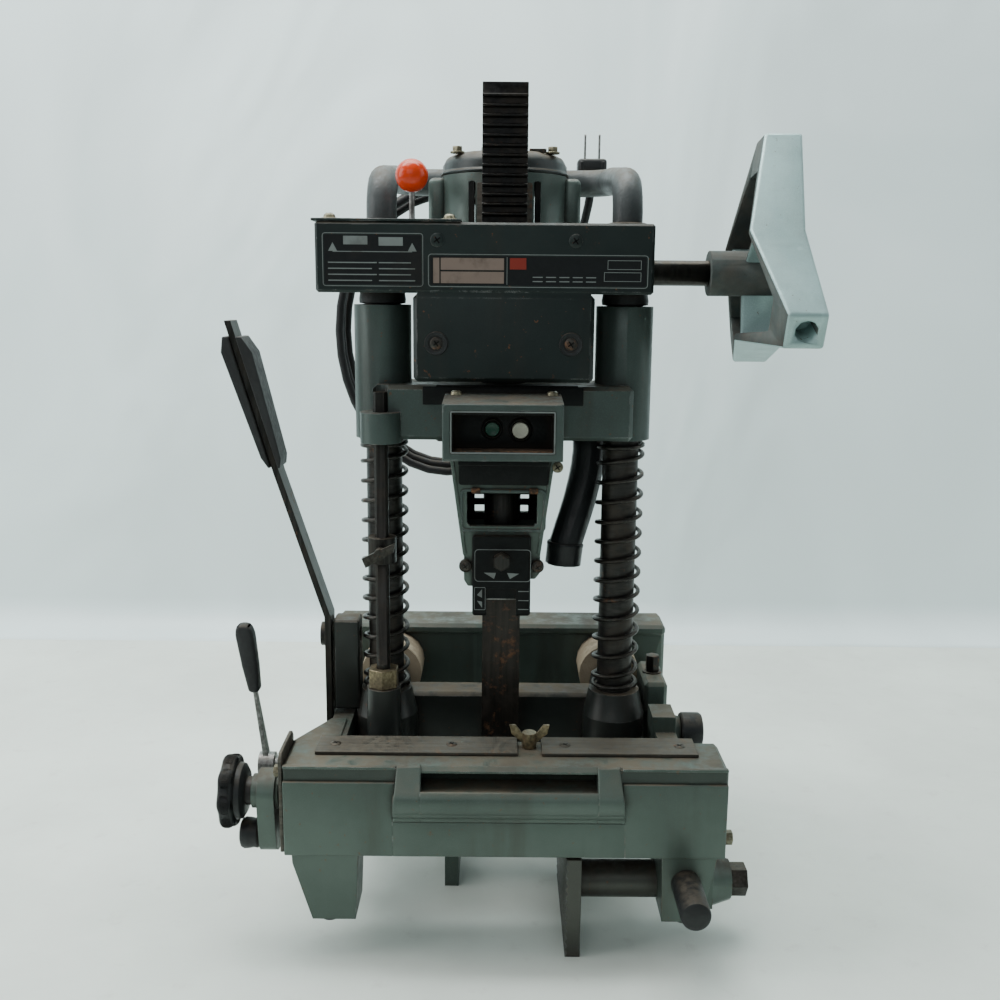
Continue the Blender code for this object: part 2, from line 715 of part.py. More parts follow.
def make_clamp_lever():
    shaft = rod((web_left + overrun, clamp_axis_y, clamp_axis_z),
                (clamp_bar_out - fit_gap, clamp_axis_y, clamp_axis_z), clamp_shaft_radius,
                sides=small_sides)
    collar = rod((clamp_bar_out - 2 * fit_gap - 2 * overrun, clamp_axis_y, clamp_axis_z),
                 (clamp_bar_in + 2 * overrun, clamp_axis_y, clamp_axis_z), lever_collar_radius)
    low, high = clamp_axis_z, clamp_top_z - overrun
    strip = plate([(clamp_bar_in, low), (clamp_bar_out, low),
                   (clamp_bar_out - clamp_lean, high), (clamp_bar_in - clamp_lean, high)],
                  "Y", clamp_axis_y - clamp_bar_half, clamp_axis_y + clamp_bar_half)
    lean = clamp_lean / (high - low)

    def lean_at(height):
        return clamp_bar_in / 2 + clamp_bar_out / 2 - lean * (height - low)

    grip_half_x = 1.1 * clamp_grip_half
    handle = plate([(lean_at(clamp_grip_low) - 0.6 * grip_half_x, clamp_grip_low),
                    (lean_at(clamp_grip_low) + 0.6 * grip_half_x, clamp_grip_low),
                    (lean_at(clamp_top_z) + grip_half_x, clamp_top_z - overrun),
                    (lean_at(clamp_top_z) + 0.5 * grip_half_x, clamp_top_z),
                    (lean_at(clamp_top_z) - 0.5 * grip_half_x, clamp_top_z),
                    (lean_at(clamp_top_z) - grip_half_x, clamp_top_z - overrun)],
                   "Y", clamp_axis_y - clamp_grip_half, clamp_axis_y + clamp_grip_half)
    piece("clamp_lever", join(collar, shaft, strip, handle), "dark_steel", "clamp_lever")


# Carriage: column sockets, crossbar, lever post, depth-stop post, guide rods, columns, springs.
carriage_low = 0.0963
boss_radius = 0.025
boss_shoulder = 0.150
spring_seat = 0.171
spring_seat_radius = 0.0205
crossbar_front, crossbar_back = 0.018, 0.046
crossbar_half = 0.113
guide_boss_radius = 0.019
guide_rod_start, guide_rod_end = 0.022, 0.112
column_low, column_high = 0.100, 0.5297
lever_post_left, lever_post_right = -0.135, -0.114
lever_post_front, lever_post_back = -0.010, 0.012
lever_post_low, lever_post_high = 0.154, 0.229
lever_pivot_y, lever_pivot_z, lever_pin_radius = 0.0, 0.215, 0.006
gusset_high = 0.172
stop_x, stop_y = -0.092, -0.033
stop_post_radius, stop_post_top = 0.0135, 0.183
stop_rod_radius, stop_rod_top = 0.0055, 0.415
stop_nut_radius, stop_nut_height = 0.0125, 0.015
collar_radius, collar_low, collar_high = 0.011, 0.284, 0.304
bolt_hub_length, bolt_blade_gap = 0.0090, 0.0060
lug_low, lug_high, lug_radius = 0.377, 0.400, 0.0155
spring_wire = 0.00175
spring_mean_radius = 0.01725
spring_turns = 12
spring_closed_turns = 2.5
curl_points = 8
lift_from_seat = 0.0004


def make_carriage():
    shape = block((-crossbar_half, crossbar_front, carriage_low),
                  (crossbar_half, crossbar_back, guide_z), casting_round)
    joined = []
    for side in (-1, 1):
        x = side * column_x
        joined.append(rod((x, 0.0, carriage_low), (x, 0.0, boss_shoulder), boss_radius))
        joined.append(rod((x, 0.0, boss_shoulder - fit_gap), (x, 0.0, spring_seat), boss_radius,
                          spring_seat_radius))
        joined.append(rod((side * guide_x, crossbar_front + overrun, guide_z),
                          (side * guide_x, crossbar_back + fit_gap, guide_z), guide_boss_radius))
    joined.append(block((lever_post_left, lever_post_front, lever_post_low),
                        (lever_post_right, lever_post_back, lever_post_high),
                        casting_round / 2))
    joined.append(plate([(lever_post_right - overrun, lever_post_low + fit_gap),
                         (-column_x - 0.4 * boss_radius, lever_post_low + fit_gap),
                         (-column_x - 0.75 * boss_radius, boss_shoulder + 2.5 * overrun),
                         (lever_post_right - overrun, gusset_high)],
                        "Y", lever_post_front + overrun, lever_post_back - overrun))
    joined.append(rod((stop_x, stop_y, carriage_low), (stop_x, stop_y, stop_post_top),
                      stop_post_radius))
    joined.append(block((stop_x - stop_post_radius + fit_gap, stop_y, carriage_low + fit_gap),
                        (stop_x + stop_post_radius - fit_gap, 0.0, boss_shoulder - overrun)))
    shape = join(shape, *joined)
    bores = []
    for side in (-1, 1):
        x = side * column_x
        bores.append(rod((x, 0.0, column_low - fit_gap), (x, 0.0, spring_seat + overrun),
                         column_radius + fit_gap))
        bores.append(rod((side * guide_x, guide_rod_start - fit_gap, guide_z),
                         (side * guide_x, crossbar_back + overrun, guide_z),
                         guide_radius + fit_gap))
    bores.append(rod((lever_post_left - overrun, lever_pivot_y, lever_pivot_z),
                     (lever_post_right + overrun, lever_pivot_y, lever_pivot_z),
                     lever_pin_radius + run_gap, sides=small_sides))
    bores.append(rod((stop_x, stop_y, boss_shoulder - fit_gap),
                     (stop_x, stop_y, stop_post_top + overrun), stop_rod_radius + fit_gap,
                     sides=small_sides))
    piece("carriage", cut(shape, *bores), "grey_green_paint", "carriage")


def spring_points(x, low, high):
    """Points of one spring: closed coils at both ends and open coils between them."""
    closed = spring_closed_turns / 2
    closed_rise = 2 * spring_wire * closed * 1.25
    total = spring_turns + 2 * closed
    middle_rise = high - low - 2 * closed_rise
    points = []
    for step in range(int(total * curl_points) + 1):
        turn = step / curl_points
        if turn < closed:
            height = closed_rise * turn / closed
        elif turn < closed + spring_turns:
            height = closed_rise + middle_rise * (turn - closed) / spring_turns
        else:
            height = high - low - closed_rise + closed_rise * (turn - closed
                                                               - spring_turns) / closed
        angle = 2 * math.pi * turn
        points.append((x + spring_mean_radius * math.cos(angle),
                       spring_mean_radius * math.sin(angle), low + height))
    return points


def least_self_gap(points, radius, skip):
    """The least clear distance between stretches of one tube, measured on its points."""
    least = None
    for first in range(len(points)):
        for second in range(first + skip, len(points)):
            gap = (Vector(points[first]) - Vector(points[second])).length - 2 * radius
            least = gap if least is None else min(least, gap)
    return least


def make_columns_and_springs():
    for side, word in ((-1, "left"), (1, "right")):
        x = side * column_x
        guide = rod((side * guide_x, guide_rod_start, guide_z),
                    (side * guide_x, guide_rod_end, guide_z), guide_radius)
        piece("guide_rod_" + word, guide, "bright_steel", "carriage")
        column = rod((x, 0.0, column_low), (x, 0.0, column_high), column_radius)
        piece("column_" + word, column, "dark_steel", "carriage")
        points = spring_points(x, spring_seat + spring_wire + lift_from_seat,
                               lug_low - spring_wire - lift_from_seat)
        print("spring_" + word, "least gap to itself in mm",
              round(1000 * least_self_gap(points, spring_wire, curl_points - 2), 3))
        piece("spring_" + word, tube(points, spring_wire, 1), "dark_steel", "carriage")


def make_depth_stop():
    shaft = rod((stop_x, stop_y, boss_shoulder), (stop_x, stop_y, stop_rod_top),
                stop_rod_radius, sides=small_sides)
    flat = block((stop_x - stop_rod_radius, stop_y - 1.2 * stop_rod_radius, stop_post_top
                  + stop_nut_height + overrun),
                 (stop_x + stop_rod_radius, stop_y - 0.8 * stop_rod_radius,
                  stop_rod_top + overrun))
    piece("depth_rod", cut(shaft, flat), "dark_steel", "carriage")
    nut = rod((stop_x, stop_y, stop_post_top + fit_gap),
              (stop_x, stop_y, stop_post_top + fit_gap + stop_nut_height), stop_nut_radius,
              sides=hex_sides)
    nut = cut(nut, rod((stop_x, stop_y, stop_post_top - overrun),
                       (stop_x, stop_y, stop_post_top + stop_nut_height + overrun),
                       stop_rod_radius + fit_gap, sides=small_sides))
    piece("depth_rod_nut", nut, "brass_screw", "carriage")
    collar = rod((stop_x, stop_y, collar_low), (stop_x, stop_y, collar_high), collar_radius)
    middle = (collar_low + collar_high) / 2
    bolt_bore_start = stop_y - stop_rod_radius
    collar = cut(collar,
                 rod((stop_x, stop_y, collar_low - overrun), (stop_x, stop_y,
                                                              collar_high + overrun),
                     stop_rod_radius + run_gap, sides=small_sides),
                 rod((stop_x, bolt_bore_start, middle),
                     (stop_x, stop_y - collar_radius - overrun, middle),
                     wing_screw_radius / 2 + run_gap, sides=small_sides))
    piece("stop_collar", collar, "dark_steel", "stop_collar")
    shaft = rod((stop_x, bolt_bore_start - run_gap, middle),
                (stop_x, stop_y - collar_radius - overrun, middle), wing_screw_radius / 2,
                sides=small_sides)
    knob_front = stop_y - collar_radius - fit_gap
    hub = rod((stop_x, knob_front, middle), (stop_x, knob_front - bolt_hub_length, middle),
              0.8 * wing_hub_radius, sides=small_sides)
    height = 0.7 * (wing_high - wing_low)
    blade = plate([(-wing_reach * 0.9, -0.3 * height), (-0.7 * wing_reach, -height),
                   (0.0, -0.35 * height), (0.7 * wing_reach, 0.2 * height),
                   (wing_reach * 0.8, 0.9 * height), (0.0, 0.35 * height)],
                  "Y", -wing_thickness / 2, wing_thickness / 2,
                  (stop_x, knob_front - bolt_blade_gap - wing_thickness / 2, middle))
    piece("stop_wing_bolt", join(hub, shaft, blade), "brass_screw", "stop_wing_bolt")


# Traverse lever: a flat bar with two grip halves.
lever_half_depth = 0.011
lever_tail_half = 0.008
lever_tail_z = 0.104
lever_knee_z = 0.232
lever_grip_z, lever_top_z = 0.349, 0.466
lever_grip_x, lever_top_x = -0.1765, -0.2105
grip_low_half, grip_top_half = 0.0078, 0.0120
grip_end_drop = 0.012     # how far the bar stands out above its grips
grip_half_depth = 0.014
slot_half_height = 0.006


def make_traverse_lever():
    middle = (lever_x_outer + lever_x_inner) / 2
    half = (lever_x_inner - lever_x_outer) / 2
    lean = (lever_top_x - lever_grip_x) / (lever_top_z - lever_grip_z)
    centre = [(middle, lever_tail_z), (middle, lever_knee_z), (lever_grip_x, lever_grip_z),
              (lever_top_x, lever_top_z)]
    outline = [(x - half, z) for x, z in centre] + [(x + half, z) for x, z in reversed(centre)]
    bar = plate(outline, "Y", -lever_half_depth, lever_half_depth)
    pin = rod((lever_x_outer - overrun, lever_pivot_y, lever_pivot_z),
              (lever_post_right - 2 * overrun, lever_pivot_y, lever_pivot_z), lever_pin_radius,
              sides=small_sides)
    head = rod((lever_x_outer - overrun, lever_pivot_y, lever_pivot_z),
               (lever_x_outer + fit_gap, lever_pivot_y, lever_pivot_z), 1.6 * lever_pin_radius)
    bar = join(bar, pin, head)
    tail_cuts = []
    for near, far in ((lever_tail_half, lever_half_depth + overrun),
                      (-lever_half_depth - overrun, -lever_tail_half)):
        tail_cuts.append(block((lever_x_outer - overrun, near, lever_tail_z - overrun),
                               (lever_x_inner + overrun / 2, far,
                                stud_z + 4 * slot_half_height)))
    tail_cuts.append(block((lever_x_outer - overrun, -stud_radius - run_gap,
                            stud_z - slot_half_height),
                           (lever_x_inner + overrun / 2, stud_radius + run_gap,
                            stud_z + slot_half_height), stud_radius / 2, "X"))
    piece("traverse_lever", cut(bar, *tail_cuts), "dark_steel", "traverse_lever")
    for side, name in ((-1, "lever_grip_outer"), (1, "lever_grip_inner")):
        near = side * (half + fit_gap)
        low_z, high_z = lever_grip_z + overrun, lever_top_z - grip_end_drop
        low_x, high_x = lever_grip_x + lean * overrun, lever_top_x - lean * grip_end_drop
        outline = [(low_x + near, low_z), (low_x + side * 0.6 * grip_low_half, low_z),
                   (low_x + lean * 2 * overrun + side * grip_low_half, low_z + 2 * overrun),
                   (high_x - lean * 3 * overrun + side * grip_top_half, high_z - 3 * overrun),
                   (high_x + side * 0.6 * grip_top_half, high_z), (high_x + near, high_z)]
        if side < 0:
            outline.reverse()
        half_shell = plate(outline, "Y", -grip_half_depth, grip_half_depth)
        piece(name, half_shell, "black_plastic", "traverse_lever")


# Bridge: gear box on the columns' tops, with its front plate, shift lever and carry handle.
tongue_half = 0.066
tongue_low = 0.424
tongue_back = -0.022
tongue_wall = 0.005
rack_half = 0.017
rack_front, rack_back = -0.010, 0.010
rack_window_front = -0.0112
chamber_half = 0.020
chamber_radius = 0.020
feed_shaft_radius = 0.00925
wheel_depth, wheel_stub = 0.064, 0.0165
wheel_hub_in = half_width - wheel_depth
feed_shaft_end = wheel_hub_in + wheel_stub
feed_bearing_start = -0.030
shift_x, shift_y = -0.068, -0.025
shift_pivot_z = 0.512
shift_stem_radius = 0.0022
shift_barrel_radius = 0.004
shift_slot_half_y = 0.006
shift_swing = 22.0
ball_radius, ball_z = 0.012, 0.572
handle_radius = 0.0115
handle_bend = 0.026
handle_rise = 0.573
handle_back_z = 0.583
handle_clearance = 0.0275  # from the motor's wall to the bar behind it
bend_steps = 5


def make_bridge():
    shape = block((bridge_left + fit_gap, bridge_front + bridge_skin + fit_gap, bridge_under),
                  (bridge_right - fit_gap, bridge_back, bridge_top), casting_round)
    window = block((-rack_half - run_gap, rack_window_front, bridge_under - overrun),
                   (rack_half + run_gap, rack_back + run_gap, bridge_top + overrun))
    chamber = rod((-chamber_half, feed_axis_y, feed_axis_z),
                  (chamber_half, feed_axis_y, feed_axis_z), chamber_radius)
    bearing = rod((feed_bearing_start - fit_gap, feed_axis_y, feed_axis_z),
                  (bridge_right + overrun, feed_axis_y, feed_axis_z),
                  feed_shaft_radius + run_gap)
    reach = (bridge_top - shift_pivot_z) * math.tan(math.radians(shift_swing))
    slot = block((shift_x - reach - 2 * shift_stem_radius, shift_y - shift_slot_half_y,
                  shift_pivot_z - shift_barrel_radius - run_gap),
                 (shift_x + shift_barrel_radius + run_gap, shift_y + shift_slot_half_y,
                  bridge_top + overrun))
    cuts = [window, chamber, bearing, slot]
    for side in (-1, 1):
        cuts.append(rod((side * column_x, 0.0, bridge_under - overrun),
                        (side * column_x, 0.0, column_high + fit_gap),
                        column_radius + fit_gap))
    piece("bridge_housing", cut(shape, *cuts), "grey_green_paint", "carriage")

    cover = block((bridge_left, bridge_front, bridge_under),
                  (bridge_right, bridge_front + bridge_skin, bridge_top), 0.3 * bridge_skin)
    tongue = block((-tongue_half, bridge_front + fit_gap, tongue_low),
                   (tongue_half, tongue_back, bridge_under - fit_gap), casting_round)
    neck = block((-tongue_half + casting_round, bridge_front + 2 * fit_gap,
                  bridge_under - 2 * overrun),
                 (tongue_half - casting_round, bridge_front + bridge_skin - fit_gap,
                  bridge_under + 2 * overrun))
    hollow = block((-tongue_half + tongue_wall, bridge_front + tongue_wall,
                    tongue_low - overrun),
                   (tongue_half - tongue_wall, tongue_back + overrun,
                    bridge_under - fit_gap - tongue_wall))
    chamber = rod((-chamber_half, feed_axis_y, feed_axis_z),
                  (chamber_half, feed_axis_y, feed_axis_z), chamber_radius)
    piece("bridge_plate", cut(join(cover, tongue, neck), hollow, chamber), "grey_green_paint",
          "carriage")


def make_shift_lever():
    barrel_half = shift_slot_half_y - fit_gap
    barrel = rod((shift_x, shift_y - barrel_half, shift_pivot_z),
                 (shift_x, shift_y + barrel_half, shift_pivot_z), shift_barrel_radius,
                 sides=small_sides)
    stem = rod((shift_x, shift_y, shift_pivot_z), (shift_x, shift_y, ball_z - 0.5 * ball_radius),
               shift_stem_radius, sides=small_sides)
    piece("shift_stem", join(barrel, stem), "bright_steel", "shift_lever")
    build = bmesh.new()
    bmesh.ops.create_uvsphere(build, u_segments=14, v_segments=8, radius=ball_radius)
    ball = from_bmesh("ball", build, (shift_x, shift_y, ball_z))
    socket = rod((shift_x, shift_y, ball_z - 1.5 * ball_radius),
                 (shift_x, shift_y, ball_z - 0.5 * ball_radius + fit_gap),
                 shift_stem_radius + fit_gap, sides=small_sides)
    piece("shift_ball", cut(ball, socket), "red_plastic", "shift_lever")


def bend(centre, first, second, radius):
    """Points of a quarter bend from one direction to another round a corner's centre."""
    points = []
    for step in range(bend_steps + 1):
        angle = math.pi / 2 * step / bend_steps
        points.append(Vector(centre) - Vector(second) * radius * math.cos(angle)
                      + Vector(first) * radius * math.sin(angle))
    return points


def make_handle():
    back = motor_y + motor_radius + handle_clearance
    up, rearward, right = (0, 0, 1), (0, 1, 0), (1, 0, 0)
    left_side = [Vector((-column_x, 0.0, bridge_top + fit_gap))]
    left_side += bend((-column_x, handle_bend, handle_rise - handle_bend), up, rearward,
                      handle_bend)
    corner = (-column_x + handle_bend, back - handle_bend, handle_back_z)
    left_side += bend(corner, rearward, right, handle_bend)
    right_side = [Vector((-point.x, point.y, point.z)) for point in reversed(left_side)]
    piece("handle_tube", tube(left_side + right_side, handle_radius), "dark_tube", "carriage")


# Head: casting on the columns, gears, motor, switch box, nose, holder, chisel and bit.
crosspiece_half, crosspiece_back = 0.098, 0.030
case_floor, case_roof = 0.009, 0.0085
gear_low, gear_high = head_under + case_floor, head_top - case_roof
idler_y = 0.038
gear_module = 0.002
armature_teeth, idler_large_teeth, idler_small_teeth, spindle_teeth = 8, 24, 10, 28
stage_gap = 0.002
case_clearance = 0.0025
motor_base_radius = 0.055
spindle_top_radius = 0.008
spindle_cover = 0.0025
spindle_top = head_top - spindle_cover
armature_radius = 0.006
idler_radius = 0.005
gland_boss_x, gland_boss_half = -0.020, 0.011
gland_z = 0.400
gland_boss_back = 0.1275
gland_length = 0.023
gland_radius = 0.0085
cord_radius = 0.00375
cover_thickness = 0.0032


def make_head_casting():
    shape = block((-crosspiece_half, head_front, head_under),
                  (crosspiece_half, crosspiece_back, head_top), casting_round)
    joined = [rod((0.0, motor_y, head_under + fit_gap), (0.0, motor_y, head_top - fit_gap),
                  motor_base_radius),
              block((-0.8 * motor_base_radius, 0.0, head_under + 2 * fit_gap),
                    (0.8 * motor_base_radius, motor_y, head_top - 2 * fit_gap)),
              block((gland_boss_x - gland_boss_half, motor_y, gland_z - gland_boss_half),
                    (gland_boss_x + gland_boss_half, gland_boss_back,
                     gland_z + gland_boss_half), casting_round)]
    for side in (-1, 1):
        x = side * column_x
        joined.append(rod((x, 0.0, lug_low + fit_gap), (x, 0.0, sleeve_top), sleeve_radius))
        joined.append(block((x - 0.35 * sleeve_radius, -0.5 * sleeve_radius,
                             head_top - overrun),
                            (x + 0.35 * sleeve_radius, 1.2 * sleeve_radius,
                             sleeve_top - overrun)))
    joined.append(rod((stop_x, stop_y, lug_low), (stop_x, stop_y, lug_high), lug_radius))
    shape = join(shape, *joined)
    tip_spare = gear_module * 0.80 + case_clearance

    def wheel_room(y, teeth):
        return rod((0.0, y, head_under - overrun), (0.0, y, gear_high),
                   gear_module * teeth / 2 + tip_spare)

    cuts = [wheel_room(spindle_y, spindle_teeth), wheel_room(idler_y, idler_large_teeth),
            wheel_room(motor_y, armature_teeth),
            rod((0.0, spindle_y, gear_high - overrun), (0.0, spindle_y, spindle_top + fit_gap),
                spindle_top_radius + run_gap),
            rod((0.0, idler_y, gear_high - overrun), (0.0, idler_y, spindle_top + fit_gap),
                idler_radius + run_gap, sides=small_sides),
            rod((0.0, motor_y, gear_high - overrun), (0.0, motor_y, head_top + overrun),
                armature_radius + run_gap, sides=small_sides),
            rod((stop_x, stop_y, lug_low - overrun), (stop_x, stop_y, stop_rod_top + 2 * overrun),
                stop_rod_radius + run_gap, sides=small_sides)]
    for side in (-1, 1):
        x = side * column_x
        cuts.append(rod((x, 0.0, lug_low - overrun), (x, 0.0, sleeve_top + overrun),
                        column_radius + run_gap))
    piece("head_casting", cut(shape, *cuts), "grey_green_paint", "head")


def gear(teeth, module, y, low, high, first_tooth):
    outline = [(x, y + side) for x, side in gear_outline(teeth, module, first_tooth)]
    return plate(outline, "Z", low, high)


def make_gears():
    split = (gear_low + gear_high) / 2
    high_low, high_high = split + stage_gap / 2, gear_high - stage_gap
    low_low, low_high = gear_low, split - stage_gap / 2
    wheel = gear(idler_large_teeth, gear_module, idler_y, high_low, high_high, 90.0)
    small = gear(idler_small_teeth, gear_module, idler_y, low_low, low_high, -90.0)
    shaft = rod((0.0, idler_y, head_under - run_gap), (0.0, idler_y, spindle_top), idler_radius,
                sides=small_sides)
    piece("gear_shaft", join(wheel, small, shaft), "dark_steel", "gear_shaft")
    half_pitch = 180.0 / armature_teeth
    pinion = gear(armature_teeth, gear_module, motor_y, high_low, high_high, -90.0 + half_pitch)
    shaft = rod((0.0, motor_y, high_low - fit_gap), (0.0, motor_y, armature_top), armature_radius,
                sides=small_sides)
    rotor = rod((0.0, motor_y, rotor_low), (0.0, motor_y, rotor_high), 0.6 * motor_radius)
    commutator = rod((0.0, motor_y, rotor_high - overrun), (0.0, motor_y, commutator_high),
                     0.3 * motor_radius)
    piece("armature", join(pinion, shaft, rotor, commutator), "copper_wire", "armature")
    half_pitch = 180.0 / spindle_teeth
    main = gear(spindle_teeth, gear_module, spindle_y, low_low, low_high, 90.0 + half_pitch)
    spindle = turned([(0.0, spindle_top), (spindle_top_radius, spindle_top),
                      (spindle_top_radius, high_low), (spindle_radius, low_low - fit_gap),
                      (spindle_radius, chuck_shoulder), (chuck_radius, chuck_top),
                      (chuck_radius, chuck_low + overrun), (0.8 * chuck_radius, chuck_low),
                      (0.0, chuck_low)], (0.0, spindle_y, 0.0))
    spindle = join(spindle, main)
    spindle = cut(spindle, rod((0.0, spindle_y, chuck_low - overrun),
                               (0.0, spindle_y, bit_shank_top + fit_gap),
                               bit_shank_radius + fit_gap, sides=small_sides))
    piece("spindle_chuck", spindle, "dark_steel", "spindle")


motor_radius = 0.051
motor_wall = 0.004
motor_top = 0.580
cap_height, cap_skin = 0.017, 0.006
cap_top = motor_top + cap_height
armature_top = cap_top - cap_skin
rotor_above_head, rotor_below_cap, commutator_height = 0.032, 0.052, 0.024
rotor_low, rotor_high = head_top + rotor_above_head, motor_top - rotor_below_cap
commutator_high = rotor_high + commutator_height
vent_width, vent_height, vent_drop, vent_x = 0.005, 0.033, 0.007, 0.0254
vent_high = motor_top - vent_drop
vent_low = vent_high - vent_height
brush_radius, brush_reach, brush_drop = 0.015, 0.0600, 0.028
brush_z = motor_top - brush_drop
brush_cap_thickness = 0.0035


def make_motor():
    low = head_top + fit_gap
    shape = rod((0.0, motor_y, low), (0.0, motor_y, motor_top), motor_radius)
    bosses = [rod((side * 0.8 * motor_radius, motor_y, brush_z),
                  (side * brush_reach, motor_y, brush_z), brush_radius) for side in (-1, 1)]
    shape = join(shape, *bosses)
    cuts = [rod((0.0, motor_y, low - overrun), (0.0, motor_y, motor_top + overrun),
                motor_radius - motor_wall)]
    for side in (-1, 1):
        cuts.append(rod((side * (brush_reach + overrun), motor_y, brush_z),
                        (side * 0.5 * motor_radius, motor_y, brush_z), 0.5 * brush_radius,
                        sides=small_sides))
        x = side * vent_x
        for front, back in ((motor_y - motor_radius - overrun, motor_y - 0.7 * motor_radius),
                            (motor_y + 0.7 * motor_radius, motor_y + motor_radius + overrun)):
            cuts.append(block((x - vent_width / 2, front, vent_low),
                              (x + vent_width / 2, back, vent_high)))
    piece("motor_housing", cut(shape, *cuts), "grey_green_paint", "head")
    for side, name in ((-1, "brush_cap_left"), (1, "brush_cap_right")):
        cap = rod((side * (brush_reach + fit_gap), motor_y, brush_z),
                  (side * (brush_reach + brush_cap_thickness), motor_y, brush_z),
                  0.85 * brush_radius)
        stub = rod((side * (brush_reach + 2 * fit_gap), motor_y, brush_z),
                   (side * (brush_reach - 2 * overrun), motor_y, brush_z),
                   0.5 * brush_radius - fit_gap, sides=small_sides)
        piece(name, join(cap, stub), "black_plastic", "head")
    edge = cap_top - motor_top
    cap = turned([(0.0, cap_top), (0.80 * motor_radius, cap_top),
                  (0.93 * motor_radius, cap_top - 0.2 * edge),
                  (0.985 * motor_radius, cap_top - 0.5 * edge),
                  (0.985 * motor_radius, motor_top + 0.2 * edge),
                  (1.02 * motor_radius, motor_top + 0.15 * edge),
                  (1.02 * motor_radius, motor_top + fit_gap), (0.0, motor_top + fit_gap)],
                 (0.0, motor_y, 0.0))
    hollow = rod((0.0, motor_y, motor_top - overrun), (0.0, motor_y, motor_top + 0.45 * edge),
                 0.85 * motor_radius)
    bore = rod((0.0, motor_y, motor_top), (0.0, motor_y, armature_top + fit_gap),
               armature_radius + run_gap, sides=small_sides)
    piece("motor_cap", cut(cap, hollow, bore), "dark_tube", "head")


box_half = 0.043
box_front, box_back, box_low, box_high = -0.085, -0.0353, 0.371, 0.412
box_peak, box_peak_front = 0.421, -0.045
recess_half, recess_back, recess_low, recess_high = 0.037, -0.067, 0.3765, 0.4065
button_z = 0.391
off_x, off_radius = -0.0080, 0.0055
on_x, on_radius = 0.0125, 0.0065
button_proud, button_depth, button_travel = 0.006, 0.006, 0.003
flap_half, flap_low, flap_high, flap_thickness = 0.033, 0.3445, 0.3685, 0.003


def make_switch_box():
    outline = [(box_front, box_low), (box_back, box_low), (box_back, box_peak),
               (box_peak_front, box_peak), (box_front, box_high)]
    shape = plate(outline, "X", -box_half, box_half)
    cuts = [block((-recess_half, box_front - overrun, recess_low),
                  (recess_half, recess_back, recess_high))]
    for x, radius in ((off_x, off_radius), (on_x, on_radius)):
        cuts.append(rod((x, recess_back - overrun, button_z),
                        (x, recess_back + button_depth + button_travel + fit_gap, button_z),
                        radius + run_gap, sides=small_sides))
    piece("switch_box", cut(shape, *cuts), "grey_green_paint", "head")
    for name, x, radius, material, body in (
            ("off_button", off_x, off_radius, "green_plastic", "off_button"),
            ("on_button", on_x, on_radius, "white_plastic", "on_button")):
        button = rod((x, recess_back - button_proud, button_z),
                     (x, recess_back + button_depth, button_z), radius, sides=small_sides)
        piece(name, button, material, body)
    flap = block((-flap_half, nose_front - fit_gap - flap_thickness, flap_low),
                 (flap_half, nose_front - fit_gap, flap_high), 0.3 * flap_thickness)
    piece("chip_flap", flap, "black_plastic", "chip_flap")


nose_front, nose_back = -0.0305, 0.030
nose_wall = 0.005
nose_top, nose_shoulder, nose_bottom = 0.3787, 0.290, 0.276
nose_top_half, nose_low_half, nose_foot_half = 0.042, 0.030, 0.023
window_low, window_high, window_half = 0.312, 0.341, 0.027
spindle_radius = 0.010
chuck_radius, chuck_low, chuck_top, chuck_shoulder = 0.014, 0.304, 0.340, 0.346
bit_shank_radius, bit_shank_top = 0.0055, 0.322
holder_half, holder_low, holder_high = 0.0225, 0.242, 0.306
holder_thickness = 0.006
holder_notch_half, holder_notch_high = 0.0115, 0.264
holder_block_half, holder_block_low, holder_block_high = 0.019, 0.2555, 0.2755
spigot_radius, spigot_high = 0.018, 0.299
chisel_half, chisel_tip, chisel_top = 0.015, 0.095, 0.2552
chisel_shank_radius, chisel_shank_top = 0.0115, 0.297
bit_radius, bit_tip, bit_flute_top = 0.0122, 0.090, 0.243
chisel_wall_share = 0.14
bit_turn_height = 0.051
bit_steps_per_turn = 6
slot_low, slot_high, slot_half = 0.140, 0.215, 0.006


def nose_outline(inset, top, bottom):
    shoulder = nose_shoulder
    return [(-nose_top_half + inset, top), (-nose_low_half + inset, shoulder),
            (-nose_foot_half + inset, bottom), (nose_foot_half - inset, bottom),
            (nose_low_half - inset, shoulder), (nose_top_half - inset, top)]


def make_nose():
    shape = plate(nose_outline(0.0, nose_top, nose_bottom), "Y", nose_front, nose_back)
    inside = plate(nose_outline(nose_wall, nose_top - 1.6 * nose_wall, nose_bottom - overrun),
                   "Y", nose_front + nose_wall, nose_back - nose_wall)
    window = block((-window_half, nose_front - overrun, window_low),
                   (window_half, nose_front + 2 * nose_wall, window_high), nose_wall / 2, "Y")
    back_window = block((-window_half, nose_back - 2 * nose_wall, window_low),
                        (window_half, nose_back + overrun, window_high), nose_wall / 2, "Y")
    bore = rod((0.0, spindle_y, nose_top - 3 * nose_wall), (0.0, spindle_y, nose_top + overrun),
               spindle_radius + run_gap)
    bolt = rod((0.0, nose_front - overrun, bolt_z), (0.0, nose_front + 2 * nose_wall, bolt_z),
               bolt_radius + run_gap, sides=small_sides)
    cover = block((-0.85 * motor_base_radius, nose_back - nose_wall / 2,
                   head_under - fit_gap - cover_thickness),
                  (0.85 * motor_base_radius, motor_y + 0.5 * motor_base_radius,
                   head_under - fit_gap), casting_round, "Z")
    bearing = rod((0.0, idler_y, head_under - 2 * cover_thickness),
                  (0.0, idler_y, head_under + overrun), idler_radius + run_gap, sides=small_sides)
    shape = cut(shape, inside, window, back_window, bore, bolt)
    piece("spindle_housing", cut(join(shape, cover), bearing), "grey_green_paint", "head")


